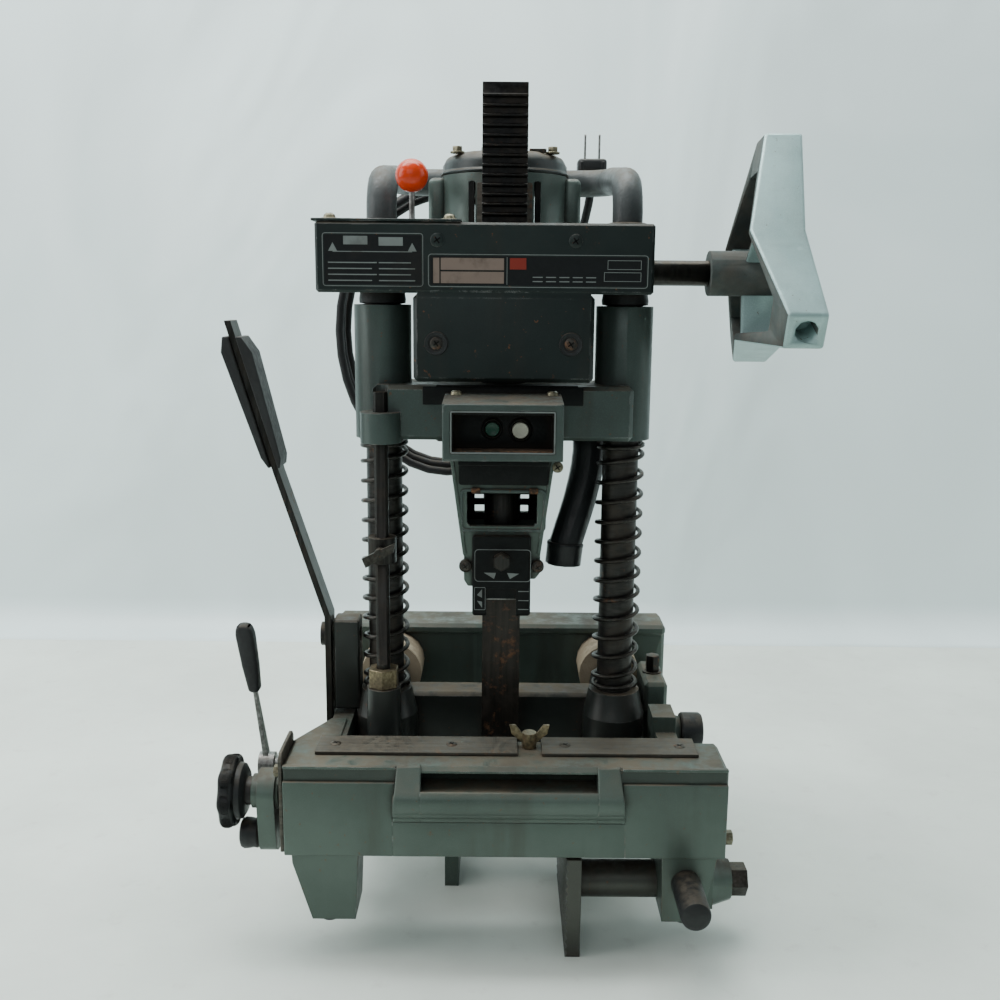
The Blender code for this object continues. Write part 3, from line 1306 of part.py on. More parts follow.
bolt_z, bolt_radius, bolt_head_radius = 0.287, 0.003, 0.0068
bolt_head_length = 0.010


def make_holder_and_chisel():
    face_back = nose_front - fit_gap
    shape = block((-holder_half, face_back - holder_thickness, holder_low),
                  (holder_half, face_back, holder_high), holder_thickness / 4)
    notch = block((-holder_notch_half, face_back - holder_thickness - overrun,
                   holder_low - overrun),
                  (holder_notch_half, face_back + overrun, holder_notch_high))
    shape = cut(shape, notch)
    body = block((-holder_block_half, face_back - overrun, holder_block_low),
                 (holder_block_half, holder_block_half, holder_block_high))
    spigot = rod((0.0, spindle_y, holder_block_high - overrun), (0.0, spindle_y, spigot_high),
                 spigot_radius)
    shape = join(shape, body, spigot)
    bolt_bore = rod((0.0, face_back - holder_thickness - overrun, bolt_z),
                    (0.0, -chisel_shank_radius + overrun, bolt_z), bolt_radius + run_gap,
                    sides=small_sides)
    shape = cut(shape, rod((0.0, spindle_y, holder_block_low - overrun),
                           (0.0, spindle_y, spigot_high + overrun),
                           chisel_shank_radius + fit_gap), bolt_bore)
    piece("chisel_holder", shape, "black_plastic", "head")
    front = face_back - holder_thickness - fit_gap
    head = rod((0.0, front, bolt_z), (0.0, front - bolt_head_length, bolt_z), bolt_head_radius,
               sides=hex_sides)
    shaft = rod((0.0, front - overrun, bolt_z), (0.0, -chisel_shank_radius - fit_gap, bolt_z),
                bolt_radius, sides=small_sides)
    piece("chisel_bolt", join(head, shaft), "bright_steel", "chisel_bolt")

    chisel = block((-chisel_half, -chisel_half, chisel_tip), (chisel_half, chisel_half,
                                                              chisel_top))
    shank = rod((0.0, spindle_y, chisel_top - overrun), (0.0, spindle_y, chisel_shank_top),
                chisel_shank_radius)
    chisel = join(chisel, shank)
    wide = bit_radius + run_gap
    cuts = [rod((0.0, spindle_y, chisel_tip - overrun), (0.0, spindle_y, bit_flute_top
                                                         + overrun / 2), wide),
            rod((0.0, spindle_y, bit_flute_top), (0.0, spindle_y, chisel_shank_top + overrun),
                bit_shank_radius + run_gap),
            rod((0.0, spindle_y, chisel_tip - fit_gap), (0.0, spindle_y, chisel_tip
                                                         + 0.3 * chisel_half),
                1.25 * chisel_half, wide),
            block((-slot_half, chisel_half - overrun - chisel_half * chisel_wall_share,
                   slot_low), (slot_half, chisel_half + overrun, slot_high), slot_half / 2, "Y")]
    piece("hollow_chisel", cut(chisel, *cuts), "rusty_steel", "head")

    build = bmesh.new()
    half_thick = 0.28 * bit_radius
    core = [build.verts.new((x, y, 0.0)) for x, y in (
        (-0.96 * bit_radius, -half_thick), (0.96 * bit_radius, -half_thick),
        (0.96 * bit_radius, half_thick), (-0.96 * bit_radius, half_thick))]
    ends = build.faces.new(core)
    height = bit_flute_top - bit_tip
    steps = int(bit_steps_per_turn * height / bit_turn_height)
    twist = Matrix.Rotation(2 * math.pi / bit_steps_per_turn, 3, "Z")
    for step in range(steps):
        below = ends
        pushed = bmesh.ops.extrude_face_region(build, geom=[below])
        ends = next(item for item in pushed["geom"] if isinstance(item, bmesh.types.BMFace))
        if step > 0:
            build.faces.remove(below)
        bmesh.ops.translate(build, vec=(0.0, 0.0, height / steps), verts=ends.verts)
        bmesh.ops.rotate(build, matrix=twist, verts=ends.verts)
    bit = from_bmesh("bit", build, (0.0, spindle_y, bit_tip))
    shank = rod((0.0, spindle_y, bit_flute_top - 2 * overrun), (0.0, spindle_y, bit_shank_top),
                bit_shank_radius, sides=small_sides)
    core_rod = rod((0.0, spindle_y, bit_tip + overrun), (0.0, spindle_y, bit_flute_top - overrun),
                   0.4 * bit_radius, sides=hex_sides)
    piece("auger_bit", join(bit, shank, core_rod), "bright_steel", "spindle")


rack_low, rack_top = head_top + fit_gap, 0.641
rack_teeth_low = 0.440


def make_rack_and_feed():
    pitch = math.pi * tooth_module
    root_y = rack_front + 1.95 * tooth_module
    outline = [(rack_back, rack_low), (rack_back, rack_top), (root_y, rack_top)]
    first = int((rack_top - 0.5 * pitch - feed_axis_z) / pitch)
    last = int((feed_axis_z - rack_teeth_low) / pitch)
    for step in range(first, -last - 1, -1):
        middle = feed_axis_z + step * pitch
        outline += [(root_y, middle + 0.21 * pitch), (rack_front, middle + 0.11 * pitch),
                    (rack_front, middle - 0.11 * pitch), (root_y, middle - 0.21 * pitch)]
    outline += [(root_y, rack_low)]
    outline.reverse()
    piece("rack", plate(outline, "X", -rack_half, rack_half), "dark_steel", "head")
    half_pitch = 180.0 / pinion_teeth
    outline = [(feed_axis_y + a, feed_axis_z + b) for a, b in gear_outline(
        pinion_teeth, tooth_module, half_pitch)]
    wheel = plate(outline, "X", -0.9 * rack_half, 0.9 * rack_half)
    shaft = rod((feed_bearing_start, feed_axis_y, feed_axis_z),
                (wheel_hub_in + overrun, feed_axis_y, feed_axis_z), feed_shaft_radius)
    stub = rod((wheel_hub_in, feed_axis_y, feed_axis_z),
               (feed_shaft_end, feed_axis_y, feed_axis_z), 0.75 * feed_shaft_radius)
    collar_face = wheel_hub_in - fit_gap
    shaft = cut(join(wheel, shaft), block((collar_face, feed_axis_y - hub_radius,
                                           feed_axis_z - hub_radius),
                                          (feed_shaft_end, feed_axis_y + hub_radius,
                                           feed_axis_z + hub_radius)))
    stub_start = rod((collar_face - overrun, feed_axis_y, feed_axis_z),
                     (wheel_hub_in + overrun, feed_axis_y, feed_axis_z),
                     0.75 * feed_shaft_radius)
    piece("feed_shaft", join(shaft, stub_start, stub), "dark_steel", "handwheel")


hub_radius = 0.0165
wheel_angles = (-7.0, 113.0, 233.0)
arm_reach, arm_tip_half = 0.0995, 0.0125
valley_reach = 0.050
valley_depth, tip_depth = 0.0435, 0.0275
valley_back, tip_back = half_width - valley_depth, half_width - tip_depth
wheel_dish = 0.004
shell_wall = 0.0045
hollow_reach = 0.072
socket_radius, socket_depth = 0.008, 0.020


def wheel_star(reach, tip_half, valley, back_valley, back_tip, face, dish):
    """A three-armed star round the feed axis, closed by fans on its face and its back."""
    build = bmesh.new()
    rings = []
    for side in ("back", "face"):
        ring = []
        for angle in wheel_angles:
            turn = Matrix.Rotation(math.radians(angle), 3, "X")
            for across, along in ((tip_half, reach), (-tip_half, reach)):
                x = back_tip if side == "back" else face
                ring.append(build.verts.new(turn @ Vector((x, across, along))))
            low = turn @ Matrix.Rotation(math.radians(60.0), 3, "X") @ Vector(
                (back_valley if side == "back" else face - dish, 0.0, valley))
            ring.append(build.verts.new(low))
        middle = build.verts.new((back_valley if side == "back" else face - dish, 0.0, 0.0))
        for first, second in zip(ring, ring[1:] + ring[:1]):
            build.faces.new((first, second, middle))
        rings.append(ring)
    for first, second, third, fourth in zip(rings[0], rings[0][1:] + rings[0][:1],
                                            rings[1][1:] + rings[1][:1], rings[1]):
        build.faces.new((first, second, third, fourth))
    bmesh.ops.triangulate(build, faces=build.faces)
    return from_bmesh("star", build, (0.0, feed_axis_y, feed_axis_z))


def make_handwheel():
    shape = wheel_star(arm_reach, arm_tip_half, valley_reach, valley_back, tip_back, half_width,
                       wheel_dish)
    hollow = wheel_star(hollow_reach, arm_tip_half, valley_reach - 1.4 * shell_wall,
                        valley_back - 2 * overrun, valley_back, half_width - shell_wall,
                        wheel_dish)
    shape = cut(shape, hollow)
    inner_face = half_width - shell_wall - wheel_dish
    hub = rod((wheel_hub_in, feed_axis_y, feed_axis_z),
              (inner_face + overrun, feed_axis_y, feed_axis_z), hub_radius)
    joined = [hub]
    for angle in wheel_angles:
        rib = block((valley_back + overrun, -shell_wall / 2, 0.5 * hub_radius),
                    (inner_face + overrun / 2, shell_wall / 2, valley_reach - shell_wall))
        rib.data.transform(Matrix.Translation(rib.location))
        rib.data.transform(Matrix.Rotation(math.radians(angle + 60.0), 4, "X"))
        rib.location = (0.0, feed_axis_y, feed_axis_z)
        joined.append(rib)
    shape = join(shape, *joined)
    cuts = [rod((wheel_hub_in - overrun, feed_axis_y, feed_axis_z),
                (feed_shaft_end + fit_gap, feed_axis_y, feed_axis_z),
                0.75 * feed_shaft_radius + fit_gap)]
    socket_x = (tip_back + half_width) / 2
    for angle in wheel_angles:
        turn = Matrix.Rotation(math.radians(angle), 3, "X")
        axis = Vector((0.0, feed_axis_y, feed_axis_z))
        cuts.append(rod(axis + turn @ Vector((socket_x, 0.0, arm_reach - socket_depth)),
                        axis + turn @ Vector((socket_x, 0.0, arm_reach + overrun)),
                        socket_radius, sides=small_sides))
    piece("handwheel", cut(shape, *cuts), "blue_grey_paint", "handwheel")


duct_top_x, duct_top_y, duct_top_z = 0.070, 0.028, 0.3775
duct_end_x, duct_end_y, duct_end_z = 0.050, 0.012, 0.272
duct_straight_share = 0.20
duct_radius, duct_wall = 0.0135, 0.0025
duct_points = 9


def make_duct():
    top = Vector((duct_top_x, duct_top_y, duct_top_z))
    end = Vector((duct_end_x, duct_end_y, duct_end_z))
    drop = Vector((0.0, 0.0, end.z - top.z))
    middle = top.lerp(end, 0.5) + (top + 0.5 * drop - top.lerp(end, 0.5)) * 0.35
    route = (top, top + duct_straight_share * drop, middle,
             end - 0.5 * duct_straight_share * drop, end)
    points = smooth_path(route, duct_points)
    shape = tube(points, duct_radius, 3)
    inner = [points[0] + (points[0] - points[1]) * 0.2, *points[1:-1],
             points[-1] + (points[-1] - points[-2]) * 0.3]
    inner[0] = points[0].lerp(points[1], 0.5)
    piece("air_duct", cut(shape, tube(inner, duct_radius - duct_wall, 3)), "black_plastic",
          "head")


# Cord: gland on the head, a lead with slack for the stroke, an oval coil that hangs behind
# the handle's crossbar, and a tail that ends in a two-blade plug above the bar.
coil_x, coil_z = -0.052, 0.452
coil_half_width, coil_half_height = 0.098, 0.128
coil_y, coil_step = 0.1690, 0.0084
coil_start, coil_turns = 100.0, 3.69
coil_swell_share = 0.035
coil_swell_rate = 2.3
loop_points = 22
plug_x, plug_y, plug_low, plug_high = 0.078, 0.1665, 0.5923, 0.607
plug_half_width, plug_half_depth = 0.013, 0.009
blade_top, blade_half_gap, blade_half_depth, blade_half_thickness = 0.627, 0.00635, 0.003, 0.00075
lead_points, tail_points = 34, 14


def coil_path():
    points = []
    for step in range(int(coil_turns * loop_points) + 1):
        turn = step / loop_points
        angle = math.radians(coil_start) + 2 * math.pi * turn
        swell = 1 + coil_swell_share * math.sin(coil_swell_rate * turn)
        points.append(Vector((coil_x + coil_half_width * swell * math.cos(angle),
                              coil_y + coil_step * turn,
                              coil_z + coil_half_height * swell * math.sin(angle))))
    return points


lead_route = ((-0.020, 0.1512, 0.400), (-0.020, 0.162, 0.400), (-0.0215, 0.174, 0.395),
              (-0.026, 0.184, 0.382), (-0.036, 0.188, 0.366), (-0.048, 0.182, 0.355),
              (-0.058, 0.169, 0.353), (-0.064, 0.154, 0.362), (-0.066, 0.141, 0.384),
              (-0.065, 0.133, 0.418), (-0.061, 0.130, 0.460), (-0.055, 0.129, 0.505),
              (-0.047, 0.1285, 0.545), (-0.041, 0.1305, 0.571), (-0.036, 0.1350, 0.594),
              (-0.034, 0.149, 0.6010), (-0.039, 0.1625, 0.5970), (-0.049, 0.1685, 0.5885),
              (-0.060, 0.169, 0.5815))
tail_route = ((0.051, 0.1995, 0.458), (0.0585, 0.193, 0.490), (0.0665, 0.183, 0.524),
              (0.0735, 0.173, 0.554), (0.0775, 0.1675, 0.576))


def make_cord():
    gland = turned([(0.0, gland_length), (1.25 * cord_radius, gland_length),
                    (1.45 * cord_radius, 0.35 * gland_length),
                    (gland_radius, 0.30 * gland_length), (gland_radius, 0.0), (0.0, 0.0)],
                   (gland_boss_x, gland_boss_back + fit_gap, gland_z), "Y")
    piece("cord_gland", gland, "cord_rubber", "head")
    coil = coil_path()
    end_gap = (coil[1] - coil[0]).normalized() * (fit_gap / 2 + cord_radius / 8)
    print("cord_coil least gap to itself in mm",
          round(1000 * least_self_gap(coil, cord_radius, loop_points - 6), 3))
    lead = smooth_path([*lead_route, coil[0] - end_gap], lead_points)
    lead[0] = Vector(lead_route[0])
    piece("cord_lead", tube(lead, cord_radius, 1), "cord_rubber", "carriage")
    tail = smooth_path([coil[-1], *tail_route, (plug_x, plug_y, plug_low - fit_gap)],
                       tail_points)
    piece("cord_coil", tube([*coil, *tail[1:]], cord_radius, 1), "cord_rubber", "carriage")
    body = block((plug_x - plug_half_width, plug_y - plug_half_depth, plug_low),
                 (plug_x + plug_half_width, plug_y + plug_half_depth, plug_high),
                 plug_half_depth / 3)
    blades = [block((plug_x + side * blade_half_gap - blade_half_thickness,
                     plug_y - blade_half_depth, plug_high - overrun),
                    (plug_x + side * blade_half_gap + blade_half_thickness,
                     plug_y + blade_half_depth, blade_top)) for side in (-1, 1)]
    piece("plug", join(body, *blades), "black_plastic", "carriage")
    length = sum((second - first).length for path in (lead, coil, tail)
                 for first, second in zip(path, path[1:]))
    print("cord length in m", round(length, 3))


def make_carriers():
    floor = (0.0, 0.0, 0.0)
    carrier("base", floor)
    carrier("carriage", floor, "base")
    carrier("head", (0.0, 0.0, head_under), "carriage")
    carrier("spindle", (0.0, spindle_y, head_under), "head")
    carrier("gear_shaft", (0.0, idler_y, head_under), "head")
    carrier("armature", (0.0, motor_y, head_under), "head")
    carrier("handwheel", (0.0, feed_axis_y, feed_axis_z), "carriage")
    carrier("shift_lever", (shift_x, shift_y, shift_pivot_z), "carriage")
    carrier("traverse_lever", (lever_x_outer, lever_pivot_y, lever_pivot_z), "carriage")
    carrier("crank", (crank_out, crank_y, crank_z), "base")
    carrier("crank_grip", (crank_grip_end, crank_y, crank_z - crank_throw), "crank")
    carrier("lock_knob", (knob_in, crank_y, crank_z), "crank")
    carrier("left_jaw", (left_jaw_face, crank_y, crank_z), "base")
    carrier("right_jaw", (right_jaw_face, shank_y, shank_z), "base")
    carrier("jaw_screw", (screw_head_in, shank_y, shank_z), "base")
    carrier("clamp_lever", (clamp_bar_in, clamp_axis_y, clamp_axis_z), "base")
    carrier("front_wing_screw", (wing_screw_x, wing_screw_y, base_top), "base")
    carrier("stop_collar", (stop_x, stop_y, collar_low), "carriage")
    middle = (collar_low + collar_high) / 2
    carrier("stop_wing_bolt", (stop_x, stop_y, middle), "stop_collar")
    carrier("off_button", (off_x, recess_back, button_z), "head")
    carrier("on_button", (on_x, recess_back, button_z), "head")
    carrier("chisel_bolt", (0.0, nose_front, bolt_z), "head")
    carrier("chip_flap", (0.0, nose_front - fit_gap - flap_thickness / 2, flap_low), "head")


def build_mortiser():
    for old in list(bpy.data.objects):
        bpy.data.objects.remove(old, do_unlink=True)
    bpy.context.scene.collection.children.link(parts)
    bpy.context.scene.collection.children.link(cutters)
    make_finishes()
    make_carriers()
    make_base()
    make_base_fittings()
    make_left_jaw()
    make_crank()
    make_lock_knob()
    make_right_jaw()
    make_wing_screw()
    make_clamp_lever()
    make_carriage()
    make_columns_and_springs()
    make_depth_stop()
    make_traverse_lever()
    make_bridge()
    make_shift_lever()
    make_handle()
    make_head_casting()
    make_gears()
    make_motor()
    make_switch_box()
    make_nose()
    make_holder_and_chisel()
    make_rack_and_feed()
    make_handwheel()
    make_duct()
    make_cord()


build_mortiser()
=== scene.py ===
import json
import math

import bmesh
import bpy
from mathutils import Matrix, Vector

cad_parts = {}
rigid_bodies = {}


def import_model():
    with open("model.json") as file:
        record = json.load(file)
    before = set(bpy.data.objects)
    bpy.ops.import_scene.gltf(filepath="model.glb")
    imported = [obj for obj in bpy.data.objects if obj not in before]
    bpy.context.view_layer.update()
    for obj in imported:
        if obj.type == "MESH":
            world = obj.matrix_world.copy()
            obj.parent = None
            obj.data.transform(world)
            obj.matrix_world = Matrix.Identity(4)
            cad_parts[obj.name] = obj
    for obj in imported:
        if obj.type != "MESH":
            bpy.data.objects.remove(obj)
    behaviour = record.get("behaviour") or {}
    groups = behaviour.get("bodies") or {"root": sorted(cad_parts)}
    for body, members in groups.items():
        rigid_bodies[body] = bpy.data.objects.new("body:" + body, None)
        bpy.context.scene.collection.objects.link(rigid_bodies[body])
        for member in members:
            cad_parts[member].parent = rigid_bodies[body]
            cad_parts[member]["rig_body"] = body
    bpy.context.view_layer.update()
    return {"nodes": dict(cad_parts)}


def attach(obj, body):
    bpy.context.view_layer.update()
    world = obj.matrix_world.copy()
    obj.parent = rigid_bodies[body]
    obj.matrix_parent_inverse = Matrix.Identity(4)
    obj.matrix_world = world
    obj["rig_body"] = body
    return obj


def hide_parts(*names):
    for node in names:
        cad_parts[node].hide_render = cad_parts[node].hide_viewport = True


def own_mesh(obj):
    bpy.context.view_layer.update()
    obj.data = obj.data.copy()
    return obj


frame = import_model()

# Names shared by the whole scene. Lengths are in metres.
X, Y, Z = Vector((1, 0, 0)), Vector((0, 1, 0)), Vector((0, 0, 1))
sides = (-1, 1)
column_x = 0.093
motor_y = 0.070
feed_axis = Vector((0.0, -0.0235, 0.504))
bridge_front, switch_front, nose_front, rail_front = -0.050, -0.085, -0.0305, -0.115
crank_y, crank_z = -0.090, 0.121
smooth_degrees = 34.0
large_steps, round_steps, small_steps = 64, 48, 24
same_place, same_level, cad_merge = 1e-6, 1e-7, 0.00001
flat_angle = math.radians(0.5)              # CAD faces that turn less than this are one face
label_lift, mark_lift = 0.0003, 0.00035     # how far fields and marks stand off their ground
print_depth = 0.0002                        # how deep a printed field is set in
slot_of = {}                                # the material slot of each finish, by its name


# Node helpers for the finishes.
class Finish:
    """One material being built, with its Object coordinates and its shader."""

    def __init__(self, name, slot="", gloss=0.5):
        slot_of[name] = slot
        self.material = bpy.data.materials.new(name)
        self.material.use_nodes = True
        self.tree = self.material.node_tree
        self.tree.nodes.clear()
        self.output = self.node("ShaderNodeOutputMaterial")
        self.shader = self.node("ShaderNodeBsdfPrincipled", {"Specular IOR Level": gloss})
        self.join(self.shader.outputs["BSDF"], self.output.inputs["Surface"])
        self.place = self.node("ShaderNodeTexCoord").outputs["Object"]
        self.geometry = self.node("ShaderNodeNewGeometry")

    def node(self, kind, inputs=(), **settings):
        """A new node, its settings first and then its inputs by name or number."""
        made = self.tree.nodes.new(kind)
        for name, value in settings.items():
            setattr(made, name, value)
        for name, value in dict(inputs).items():
            self.feed(made.inputs[name], value)
        return made

    def join(self, source, target):
        self.tree.links.new(source, target)

    def feed(self, socket, value):
        """Sets a socket from a number, a colour or another node's output."""
        if isinstance(value, bpy.types.NodeSocket):
            self.join(value, socket)
        elif isinstance(value, tuple) and len(value) == 3 and socket.type == "RGBA":
            socket.default_value = (*value, 1.0)
        else:
            socket.default_value = value

    def noise(self, scale, detail=4.0, roughness=0.6, stretch=None, distortion=0.0):
        where = self.place
        if stretch:
            where = self.node("ShaderNodeMapping", {"Vector": self.place,
                                                    "Scale": stretch}).outputs["Vector"]
        return self.node("ShaderNodeTexNoise", {
            "Vector": where, "Scale": scale, "Detail": detail, "Roughness": roughness,
            "Distortion": distortion}).outputs["Fac"]

    def cells(self, scale):
        return self.node("ShaderNodeTexVoronoi", {"Vector": self.place,
                                                  "Scale": scale}).outputs["Distance"]

    def span(self, value, low, high, out_low=0.0, out_high=1.0):
        """A value from low to high, spread smoothly over the outgoing span."""
        return self.node("ShaderNodeMapRange", {
            "Value": value, "From Min": low, "From Max": high, "To Min": out_low,
            "To Max": out_high}, interpolation_type="SMOOTHSTEP").outputs["Result"]

    def math(self, operation, first, second):
        return self.node("ShaderNodeMath", {0: first, 1: second},
                         operation=operation).outputs["Value"]

    def times(self, first, *others):
        for other in others:
            first = self.math("MULTIPLY", first, other)
        return first

    def plus(self, first, second):
        return self.math("ADD", first, second)

    def most(self, first, second):
        return self.math("MAXIMUM", first, second)

    def mix(self, share, first, second):
        return self.node("ShaderNodeMix", {"Factor": share, "A": first, "B": second},
                         data_type="RGBA").outputs["Result"]

    def settled(self, fine, low, high, dust):
        """Dust in patches on all that faces up."""
        parts = self.node("ShaderNodeSeparateXYZ", {"Vector": self.geometry.outputs["Normal"]})
        return self.times(self.span(parts.outputs["Z"], 0.35, 0.95),
                          self.span(fine, low, high), dust)

    def corners(self, reach):
        """1 in corners and crevices, 0 in the open, from the AO node; it drives painted shade."""
        made = self.node("ShaderNodeAmbientOcclusion", {"Distance": reach}, samples=6)
        return self.span(made.outputs["AO"], 0.35, 0.85, 1.0, 0.0)

    def round_normal(self, radius):
        return self.node("ShaderNodeBevel", {"Radius": radius}, samples=4).outputs["Normal"]

    def edges(self, reach):
        """1 on outer and inner edges, 0 on flats."""
        dot = self.node("ShaderNodeVectorMath", {0: self.round_normal(reach),
                                                 1: self.geometry.outputs["Normal"]},
                        operation="DOT_PRODUCT")
        return self.span(dot.outputs["Value"], 0.90, 0.998, 1.0, 0.0)

    def relief(self, height, depth, strength, rounded=0.0):
        """A fine relief, on softened edges where they are asked for."""
        inputs = {"Distance": depth, "Strength": strength, "Height": height}
        if rounded > 0.0:
            inputs["Normal"] = self.round_normal(rounded)
        bump = self.node("ShaderNodeBump", inputs)
        self.join(bump.outputs["Normal"], self.shader.inputs["Normal"])

    def look(self, colour, roughness, metallic=0.0):
        self.feed(self.shader.inputs["Base Color"], colour)
        self.feed(self.shader.inputs["Roughness"], roughness)
        self.feed(self.shader.inputs["Metallic"], metallic)
        return self.material


sawdust, grime_and_shade, rust = (0.125, 0.098, 0.066), (0.035, 0.026, 0.019), (0.13, 0.052, 0.021)
even_grain, drawn_up, drawn_across = (1.0, 1.0, 1.0), (1.0, 1.0, 0.05), (0.05, 1.0, 1.0)


def tint(colour, factor, added=0.0):
    return tuple(factor * part + added for part in colour)


def cast_paint(name, colour, dust=0.8, wear_and_highlight=0.7, dirt_and_shade=0.8, hollow=False,
               slot="grey_green_paint"):
    """Metallic paint on a casting, with sawdust on top, dirt streaks, painted shade in corners, and
    rubbed edges whose pale tone is partly a painted highlight.

    With hollow, faces that the piece marks as inside get a dark brown coat: grime on the hub,
    painted shade on the faces turned inward and towards the machine.
    """
    f = Finish(name, slot, 0.4)
    patches = f.noise(9.0, 5.0)
    fine = f.noise(75.0, 5.0, 0.65)
    flecks = f.noise(1500.0, 2.0)
    light = tint(colour, 1.22)
    tone = f.mix(f.span(patches, 0.3, 0.7), tint(colour, 0.70), colour)
    tone = f.mix(f.times(f.span(flecks, 0.48, 0.68), 0.35), tone, light)
    runs = f.noise(30.0, 4.0, 0.6, (1.0, 1.0, 0.13))
    tone = f.mix(f.times(f.span(runs, 0.50, 0.74), 0.42 * dirt_and_shade), tone, grime_and_shade)
    # Painted shade: corners and crevices that the AO node finds are darkened towards a dark brown.
    corner = f.times(f.corners(0.014), f.span(fine, 0.30, 0.62), 0.85 * dirt_and_shade)
    tone = f.mix(corner, tone, grime_and_shade)
    specks = f.times(f.span(f.noise(210.0, 3.0, 0.7), 0.66, 0.72), 0.75 * wear_and_highlight)
    tone = f.mix(specks, tone, rust)
    # Rubbed edges turn pale in some patches and rusty in others; the pale tone is partly a painted
    # highlight along the edges.
    edge = f.times(f.edges(0.0011), f.span(fine, 0.50, 0.60), wear_and_highlight)
    rubbed_pale_and_highlight = tint(colour, 0.55, 0.24)
    tone = f.mix(edge, tone, f.mix(f.span(patches, 0.52, 0.66), rubbed_pale_and_highlight, rust))
    scratches = f.noise(60.0, 2.0, 0.5, (1.0, 1.0, 0.06))
    tone = f.mix(f.times(f.span(scratches, 0.695, 0.715), 0.4 * wear_and_highlight), tone, light)
    settled = f.settled(fine, 0.22, 0.62, dust)
    tone = f.mix(settled, tone, f.mix(f.span(patches, 0.35, 0.65), sawdust, grime_and_shade))
    dull = f.most(settled, corner)
    rough = f.plus(f.span(fine, 0.2, 0.8, 0.30, 0.48), f.times(dull, 0.42))
    metal = f.span(dull, 0.1, 0.6, 0.42, 0.0)
    if hollow:
        inside = f.node("ShaderNodeAttribute", attribute_name="inside").outputs["Fac"]
        # Dark brown coat on the marked faces: grime on the hub, painted shade on the inward and
        # back faces.
        grime_and_shade_coat = f.times(inside, f.span(patches, 0.2, 0.7, 0.98, 0.80))
        tone = f.mix(grime_and_shade_coat, tone, f.mix(f.span(fine, 0.3, 0.7), (0.013, 0.010, 0.008),
                                         (0.042, 0.028, 0.019)))
        rough = f.most(rough, f.times(inside, 0.85))
        metal = f.times(metal, f.math("SUBTRACT", 1.0, inside))
    f.relief(f.plus(f.times(flecks, 0.12), f.times(fine, 0.6)), 0.00045, 0.55, 0.0009)
    return f.look(tone, rough, metal)


def worn_steel(name, colour, rusted, grain=even_grain, roughness=0.36, dust=0.3, metallic=0.85,
               oil=0.5, slot="dark_steel"):
    """Bare steel with drawn grain, patches of rust, oily grime and a little sawdust."""
    f = Finish(name, slot)
    patches = f.noise(26.0, 6.0, 0.7, None, 0.6)
    fine = f.noise(180.0, 5.0, 0.7)
    lines = f.noise(420.0, 3.0, 0.5, grain)
    tone = f.mix(f.span(lines, 0.3, 0.7), tint(colour, 0.62), tint(colour, 1.25))
    oily = f.times(f.span(patches, 0.36, 0.56, 1.0, 0.0), oil)
    tone = f.mix(oily, tone, grime_and_shade)
    spread = f.plus(f.times(patches, 0.7), f.times(fine, 0.3))
    rusty = f.times(f.span(spread, 0.60 - 0.22 * rusted, 0.68 - 0.16 * rusted),
                    min(1.0, 0.35 + rusted))
    tone = f.mix(rusty, tone, f.mix(f.span(fine, 0.35, 0.65), (0.055, 0.024, 0.012),
                                    (0.19, 0.080, 0.032)))
    settled = f.settled(fine, 0.3, 0.6, dust)
    tone = f.mix(settled, tone, sawdust)
    dull = f.most(f.most(rusty, settled), f.times(oily, 0.5))
    f.relief(f.plus(f.times(rusty, 0.5), f.times(fine, 0.35)), 0.0004, 0.7, 0.0006)
    return f.look(tone, f.span(dull, 0.0, 1.0, roughness, 0.88),
                  f.span(dull, 0.0, 1.0, metallic, 0.05))


def moulded(name, colour, roughness=0.5, dust=0.5, pebble=420.0, dirt_and_shade=0.5, depth=0.00025,
            gloss=0.3, slot="black_plastic"):
    """Moulded plastic or rubber with a fine pebble, lighter rubbed edges that are partly a painted
    sheen, painted shade in corners, and dust.
    """
    f = Finish(name, slot, gloss)
    patches = f.noise(22.0, 5.0)
    fine = f.noise(160.0, 4.0, 0.65)
    tone = f.mix(f.span(patches, 0.35, 0.65), colour, tint(colour, 1.4))
    # Lighter edges: partly scuffs, partly a painted sheen.
    wear_and_sheen = f.times(f.edges(0.0010), f.span(fine, 0.45, 0.62), 0.30)
    tone = f.mix(wear_and_sheen, tone, tint(colour, 1.8, 0.015))
    # Painted shade: corners and crevices that the AO node finds are darkened.
    tone = f.mix(f.times(f.corners(0.008), dirt_and_shade), tone, grime_and_shade)
    settled = f.settled(fine, 0.28, 0.62, dust)
    tone = f.mix(settled, tone, sawdust)
    rough = f.plus(f.span(fine, 0.25, 0.75, roughness - 0.08, roughness + 0.10),
                   f.times(settled, 0.3))
    f.relief(f.plus(f.cells(pebble), f.times(fine, 0.4)), depth, 0.5, 0.0007)
    return f.look(tone, rough)


def plain_print(name, colour, roughness=0.5, metallic=0.0, grimy=0.5, slot="black_plastic"):
    """The flat colour of a printed plate, scuffed and grimed."""
    f = Finish(name, slot, 0.25)
    fine = f.noise(120.0, 5.0, 0.7)
    patches = f.noise(34.0, 5.0, 0.65)
    tone = f.mix(f.times(f.span(patches, 0.48, 0.70), grimy), colour, grime_and_shade)
    tone = f.mix(f.times(f.span(fine, 0.60, 0.72), 0.3 * grimy), tone, (0.07, 0.06, 0.05))
    f.relief(fine, 0.0001, 0.4)
    return f.look(tone, f.span(fine, 0.25, 0.75, roughness - 0.08, roughness + 0.16), metallic)


grey_green = cast_paint("grey_green_paint_worn", (0.084, 0.113, 0.097))
motor_green = cast_paint("motor_paint_worn", (0.118, 0.156, 0.140))
head_green = cast_paint("head_paint_worn", (0.066, 0.088, 0.081), 0.9, 0.8, 1.0)
